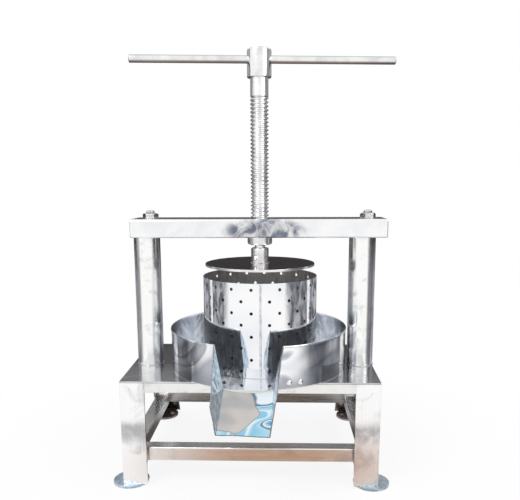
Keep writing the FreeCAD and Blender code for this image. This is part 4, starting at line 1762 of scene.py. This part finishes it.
        inside, outside = surface(0.0), surface(self.spout_t)
        spout.grid(inside)
        spout.grid([row[::-1] for row in outside])
        sheet_faces = len(spout.mesh.faces)
        for first, second in ((inside[0], outside[0]), (inside[-1], outside[-1]),
                              ([row[0] for row in inside], [row[0] for row in outside]),
                              ([row[-1] for row in inside], [row[-1] for row in outside])):
            spout.grid([first, second])
        for number, face in enumerate(spout.mesh.faces):
            face.normal_update()
            upright = abs(face.normal.x) > abs(face.normal.z)
            face.material_index = 1 if number >= sheet_faces else 2 * int(upright)
        spout.placed(self.place())
        spout.finish((material, edge, CreasedSheet().build()), "bowl", "vessel_steel", "spout")


@dataclass
class Basket:
    """The perforated basket with its upright seam. Sizes in mm."""

    axis: Point = AXIS
    radius: float = 100.0
    sheet: float = 1.5
    low: float = 186.8
    top: float = 346.0
    hole_r: float = 2.7
    rows: int = 8
    per_row: int = 18
    row_step: float = 19.5
    first_drop: float = 10.5
    seam_angle: float = 2.0
    seam_gap: float = 27.0         # degrees from the last hole round the seam to the first
    seam_width: float = 4.6
    seam_flatness: float = 0.12    # thickness of the seam's bead over its width
    side_steps: int = 8

    def build(self) -> None:
        """Model the basket's pieces."""
        mirror, milled = MirrorSheet().build(), MilledSheet().build()
        self.add_wall(mirror, milled)
        floor = Piece("basket_floor_sheet")
        inner, high = self.radius - self.sheet, self.low + self.sheet
        floor.turn([(0.0, self.low), (inner, self.low), (inner, high), (0.0, high)], self.axis, 128)
        floor.finish(milled, "basket", "vessel_steel", "basket_floor")
        seam = Piece("basket_seam")
        at = self.seam_angle
        ends = (self.on_wall(at, self.low + 1.0), self.on_wall(at, self.top - 1.0))
        seam.bead_along(*ends, self.seam_width)
        flat = Matrix.Diagonal((1.0, self.seam_flatness, 1.0, 1.0))
        flatter = Matrix.Translation(ends[0]) @ flat @ Matrix.Translation(-ends[0])
        seam.placed(flatter)
        seam.finish(WeldBead(bright="#e6e5e3", heat="#b9b8be").build(), "basket", "vessel_steel")

    def on_wall(self, angle: float, z: float) -> Vector:
        """Point of the basket's outside.

        Args:
            angle: Degrees to the right of the front.
            z: Height, in mm.

        Returns:
            The point in the row frame.
        """
        return around(self.axis, self.radius, math.radians(angle - 90), z)

    def square(self, angle0: float, angle1: float, z0: float, z1: float) -> list[Point]:
        """Points round the edge of one cell, in equal steps.

        Args:
            angle0: Left edge, in degrees.
            angle1: Right edge, in degrees.
            z0: Lower edge, in mm.
            z1: Upper edge, in mm.

        Returns:
            Angles and heights, from the lower left corner round to the left.
        """
        n = self.side_steps
        lower = [(angle0 + (angle1 - angle0) * k / n, z0) for k in range(n)]
        right = [(angle1, z0 + (z1 - z0) * k / n) for k in range(n)]
        upper = [(angle1 + (angle0 - angle1) * k / n, z1) for k in range(n)]
        left = [(angle0, z1 + (z0 - z1) * k / n) for k in range(n)]
        return lower + right + upper + left

    def add_wall(self, material: Material, inside: Material) -> None:
        """Model the sheet with its staggered round holes.

        Args:
            material: Its finish outside.
            inside: Its finish inside.
        """
        wall = Piece("basket_wall_sheet")
        half_pitch = (360.0 - self.seam_gap) / (self.per_row - 1) / 2
        first = self.seam_angle + self.seam_gap / 2 - half_pitch
        tall = self.row_step / 2
        n = self.side_steps
        columns = 2 * self.per_row
        for column in range(columns + 1):
            left = first + column * half_pitch
            right = left + half_pitch if column < columns else first + 360.0
            for row in range(self.rows):
                middle = self.top - self.first_drop - row * self.row_step
                low, high = middle - tall, middle + tall
                if column < columns and (column + row) % 2:
                    self.add_holed_cell(wall, left, right, low, high)
                else:
                    self.add_plain_cell(wall, left, right, low, high, n)
            lowest = self.top - self.first_drop - (self.rows - 1) * self.row_step - tall
            self.add_plain_cell(wall, left, right, self.low, lowest, 1)
            self.add_plain_cell(wall, left, right, self.top - self.first_drop + tall, self.top, 1)

        def inward(point: Vector) -> Vector:
            """Point under a point of the outside, through the sheet."""
            out = Vector((point.x - self.axis[0], point.y - self.axis[1], 0.0)).normalized()
            return point - out * self.sheet

        wall.thicken(inward)
        wall.finish((material, inside, ShearedEdge().build()), "basket", "vessel_steel", "basket_wall")

    def add_plain_cell(self, wall: Piece, left: float, right: float, low: float, high: float,
                       tall: int) -> None:
        """Add a cell with no hole.

        Args:
            wall: The mesh that gets the cell.
            left: Left edge, in degrees.
            right: Right edge, in degrees.
            low: Lower edge, in mm.
            high: Upper edge, in mm.
            tall: Steps up the cell.
        """
        n, wide, rise = self.side_steps, right - left, high - low
        wall.grid([[self.on_wall(left + wide * k / n, low + rise * j / tall) for k in range(n + 1)]
                   for j in range(tall + 1)])

    def add_holed_cell(self, wall: Piece, left: float, right: float, low: float, high: float) -> None:
        """Add a cell with a round hole in its middle.

        Args:
            wall: The mesh that gets the cell.
            left: Left edge, in degrees.
            right: Right edge, in degrees.
            low: Lower edge, in mm.
            high: Upper edge, in mm.
        """
        outline = self.square(left, right, low, high)
        middle_angle, middle_z = (left + right) / 2, (low + high) / 2
        reach = math.degrees(self.hole_r / self.radius)
        rings = [outline]
        for share in (2.0, 1.25, 1.0):
            ring = []
            for k in range(len(outline)):
                turn = math.radians(-135) + math.tau * k / len(outline)
                ring.append((middle_angle + share * reach * math.cos(turn),
                             middle_z + share * self.hole_r * math.sin(turn)))
            rings.append(ring)
        wall.grid([[self.on_wall(*point) for point in ring] for ring in rings], round_rows=True)


@dataclass(frozen=True)
class Studio:
    """The plain pale room: floor, soft lamps, backdrop light and the glowing cards, dark below, that steel
    reflects.

    Sizes and places are in metres.
    """

    light: str = "#e9edf2"               # colour and strength of the room's light on matt surfaces
    strength: float = 0.7
    card_height: float = 2.2
    floor_reach: float = 12.0
    aim: Place = (0.0, -0.05, 0.3)       # where the lamps point

    def build(self) -> None:
        """Set up the room."""
        self.add_world()
        self.add_floor()
        self.add_card("card_rear", (-3.2, 2.4), (3.2, 2.4))
        self.add_card("card_left", (-2.6, 0.0), (-3.2, 2.4))
        self.add_card("card_right", (3.2, 2.4), (2.7, -1.5))
        self.add_lamp("key_lamp", Vector((-1.3, -1.7, 2.1)), 1.3, 38.0)
        self.add_lamp("fill_lamp", Vector((1.7, -1.2, 1.5)), 1.0, 16.0)

    def add_world(self) -> None:
        """Light the room evenly, with a white backdrop."""
        world = bpy.data.worlds.new("studio")
        world.use_nodes = True
        bpy.context.scene.world = world
        tree = world.node_tree
        tree.nodes.clear()
        path = add_node(tree, "ShaderNodeLightPath").outputs
        seen = add_node(tree, "ShaderNodeMath", links={0: path["Is Camera Ray"], 1: path["Is Glossy Ray"]},
                        operation="MAXIMUM")
        clear = add_node(tree, "ShaderNodeMath", links={0: seen.outputs[0], 1: path["Is Transmission Ray"]},
                         operation="MAXIMUM")
        soft = add_node(tree, "ShaderNodeBackground", {"Color": srgb(self.light), "Strength": self.strength})
        white = add_node(tree, "ShaderNodeBackground", {"Color": srgb("#ffffff"), "Strength": 1.0})
        both = add_node(tree, "ShaderNodeMixShader",
                        links={0: clear.outputs[0], 1: soft.outputs[0], 2: white.outputs[0]})
        add_node(tree, "ShaderNodeOutputWorld", links={"Surface": both.outputs[0]})

    def sheet(self, name: str, corners: Sequence[Sequence[float]], material: Material) -> bpy.types.Object:
        """Add one flat sheet of the room.

        Args:
            name: Its name.
            corners: Its corners, in metres.
            material: Its material.

        Returns:
            The new object.
        """
        shape = bmesh.new()
        shape.faces.new([shape.verts.new(corner) for corner in corners])
        data = bpy.data.meshes.new(name)
        shape.to_mesh(data)
        shape.free()
        data.materials.append(material)
        sheet = put(name, data)
        return sheet

    def add_floor(self) -> None:
        """Lay the pale floor."""
        reach = self.floor_reach
        self.sheet("floor", ((-reach, -reach, 0), (reach, -reach, 0), (reach, reach, 0), (-reach, reach, 0)),
                   PaleFloor().build())

    def add_card(self, name: str, start: Point, end: Point) -> None:
        """Stand up one glowing card, dark below and white along its top, that only reflections show.

        Args:
            name: Its name.
            start: One lower corner, in metres.
            end: The other lower corner, in metres.
        """
        height = self.card_height
        sheet = self.sheet(name, ((*start, 0), (*end, 0), (*end, height), (*start, height)),
                           GlowingCard(name, height).build())
        sheet.visible_camera = sheet.visible_diffuse = sheet.visible_shadow = False

    def add_lamp(self, name: str, place: Vector, size: float, power: float) -> None:
        """Hang one soft square lamp that points at the press.

        Args:
            name: Its name.
            place: Its place, in metres.
            size: Its side, in metres.
            power: Its power, in watts.
        """
        data = bpy.data.lights.new(name, "AREA")
        data.size, data.energy = size, power
        lamp = put(name, data)
        lamp.location = place
        lamp.rotation_euler = (Vector(self.aim) - place).to_track_quat("-Z", "Y").to_euler()


@dataclass(frozen=True)
class PhotoCamera:
    """The camera of the photograph, found from measured edges. Sizes in mm, angles in degrees."""

    place: Place = (47.05, -1110.05, 501.17)
    down: float = 10.21
    yaw: float = -1.78
    roll: float = -0.21
    lens: float = 41.51
    sensor: float = 36.0
    shift_up: float = 0.0843

    def build(self) -> None:
        """Set up the camera."""
        data = bpy.data.cameras.new("photo_camera")
        data.sensor_fit, data.sensor_width, data.lens = "HORIZONTAL", self.sensor, self.lens
        data.shift_y = self.shift_up
        data.clip_start, data.clip_end = 0.05, 60.0
        down, yaw, roll = (math.radians(angle) for angle in (self.down, self.yaw, self.roll))
        ahead = Vector((math.sin(yaw) * math.cos(down), math.cos(yaw) * math.cos(down), -math.sin(down)))
        right = Vector((math.cos(yaw), -math.sin(yaw), 0.0))
        up = right.cross(ahead)
        rolled_right = math.cos(roll) * right + math.sin(roll) * up
        rolled_up = math.cos(roll) * up - math.sin(roll) * right
        camera = put("photo_camera", data)
        turn = Matrix((rolled_right, rolled_up, -ahead)).transposed().to_4x4()
        camera.matrix_world = Matrix.Translation(Vector(self.place) * MM) @ turn
        bpy.context.scene.camera = camera


def main() -> None:
    """Build the press, the room and the camera."""
    logging.basicConfig(level=logging.INFO, format="%(name)s: %(message)s")
    bpy.context.scene.view_settings.view_transform = "Standard"
    for part in (Table(), Head(), PressScrew(), PressHead(), Bowl(), Basket(), Studio(), PhotoCamera()):
        part.build()


if __name__ == "__main__":
    main()
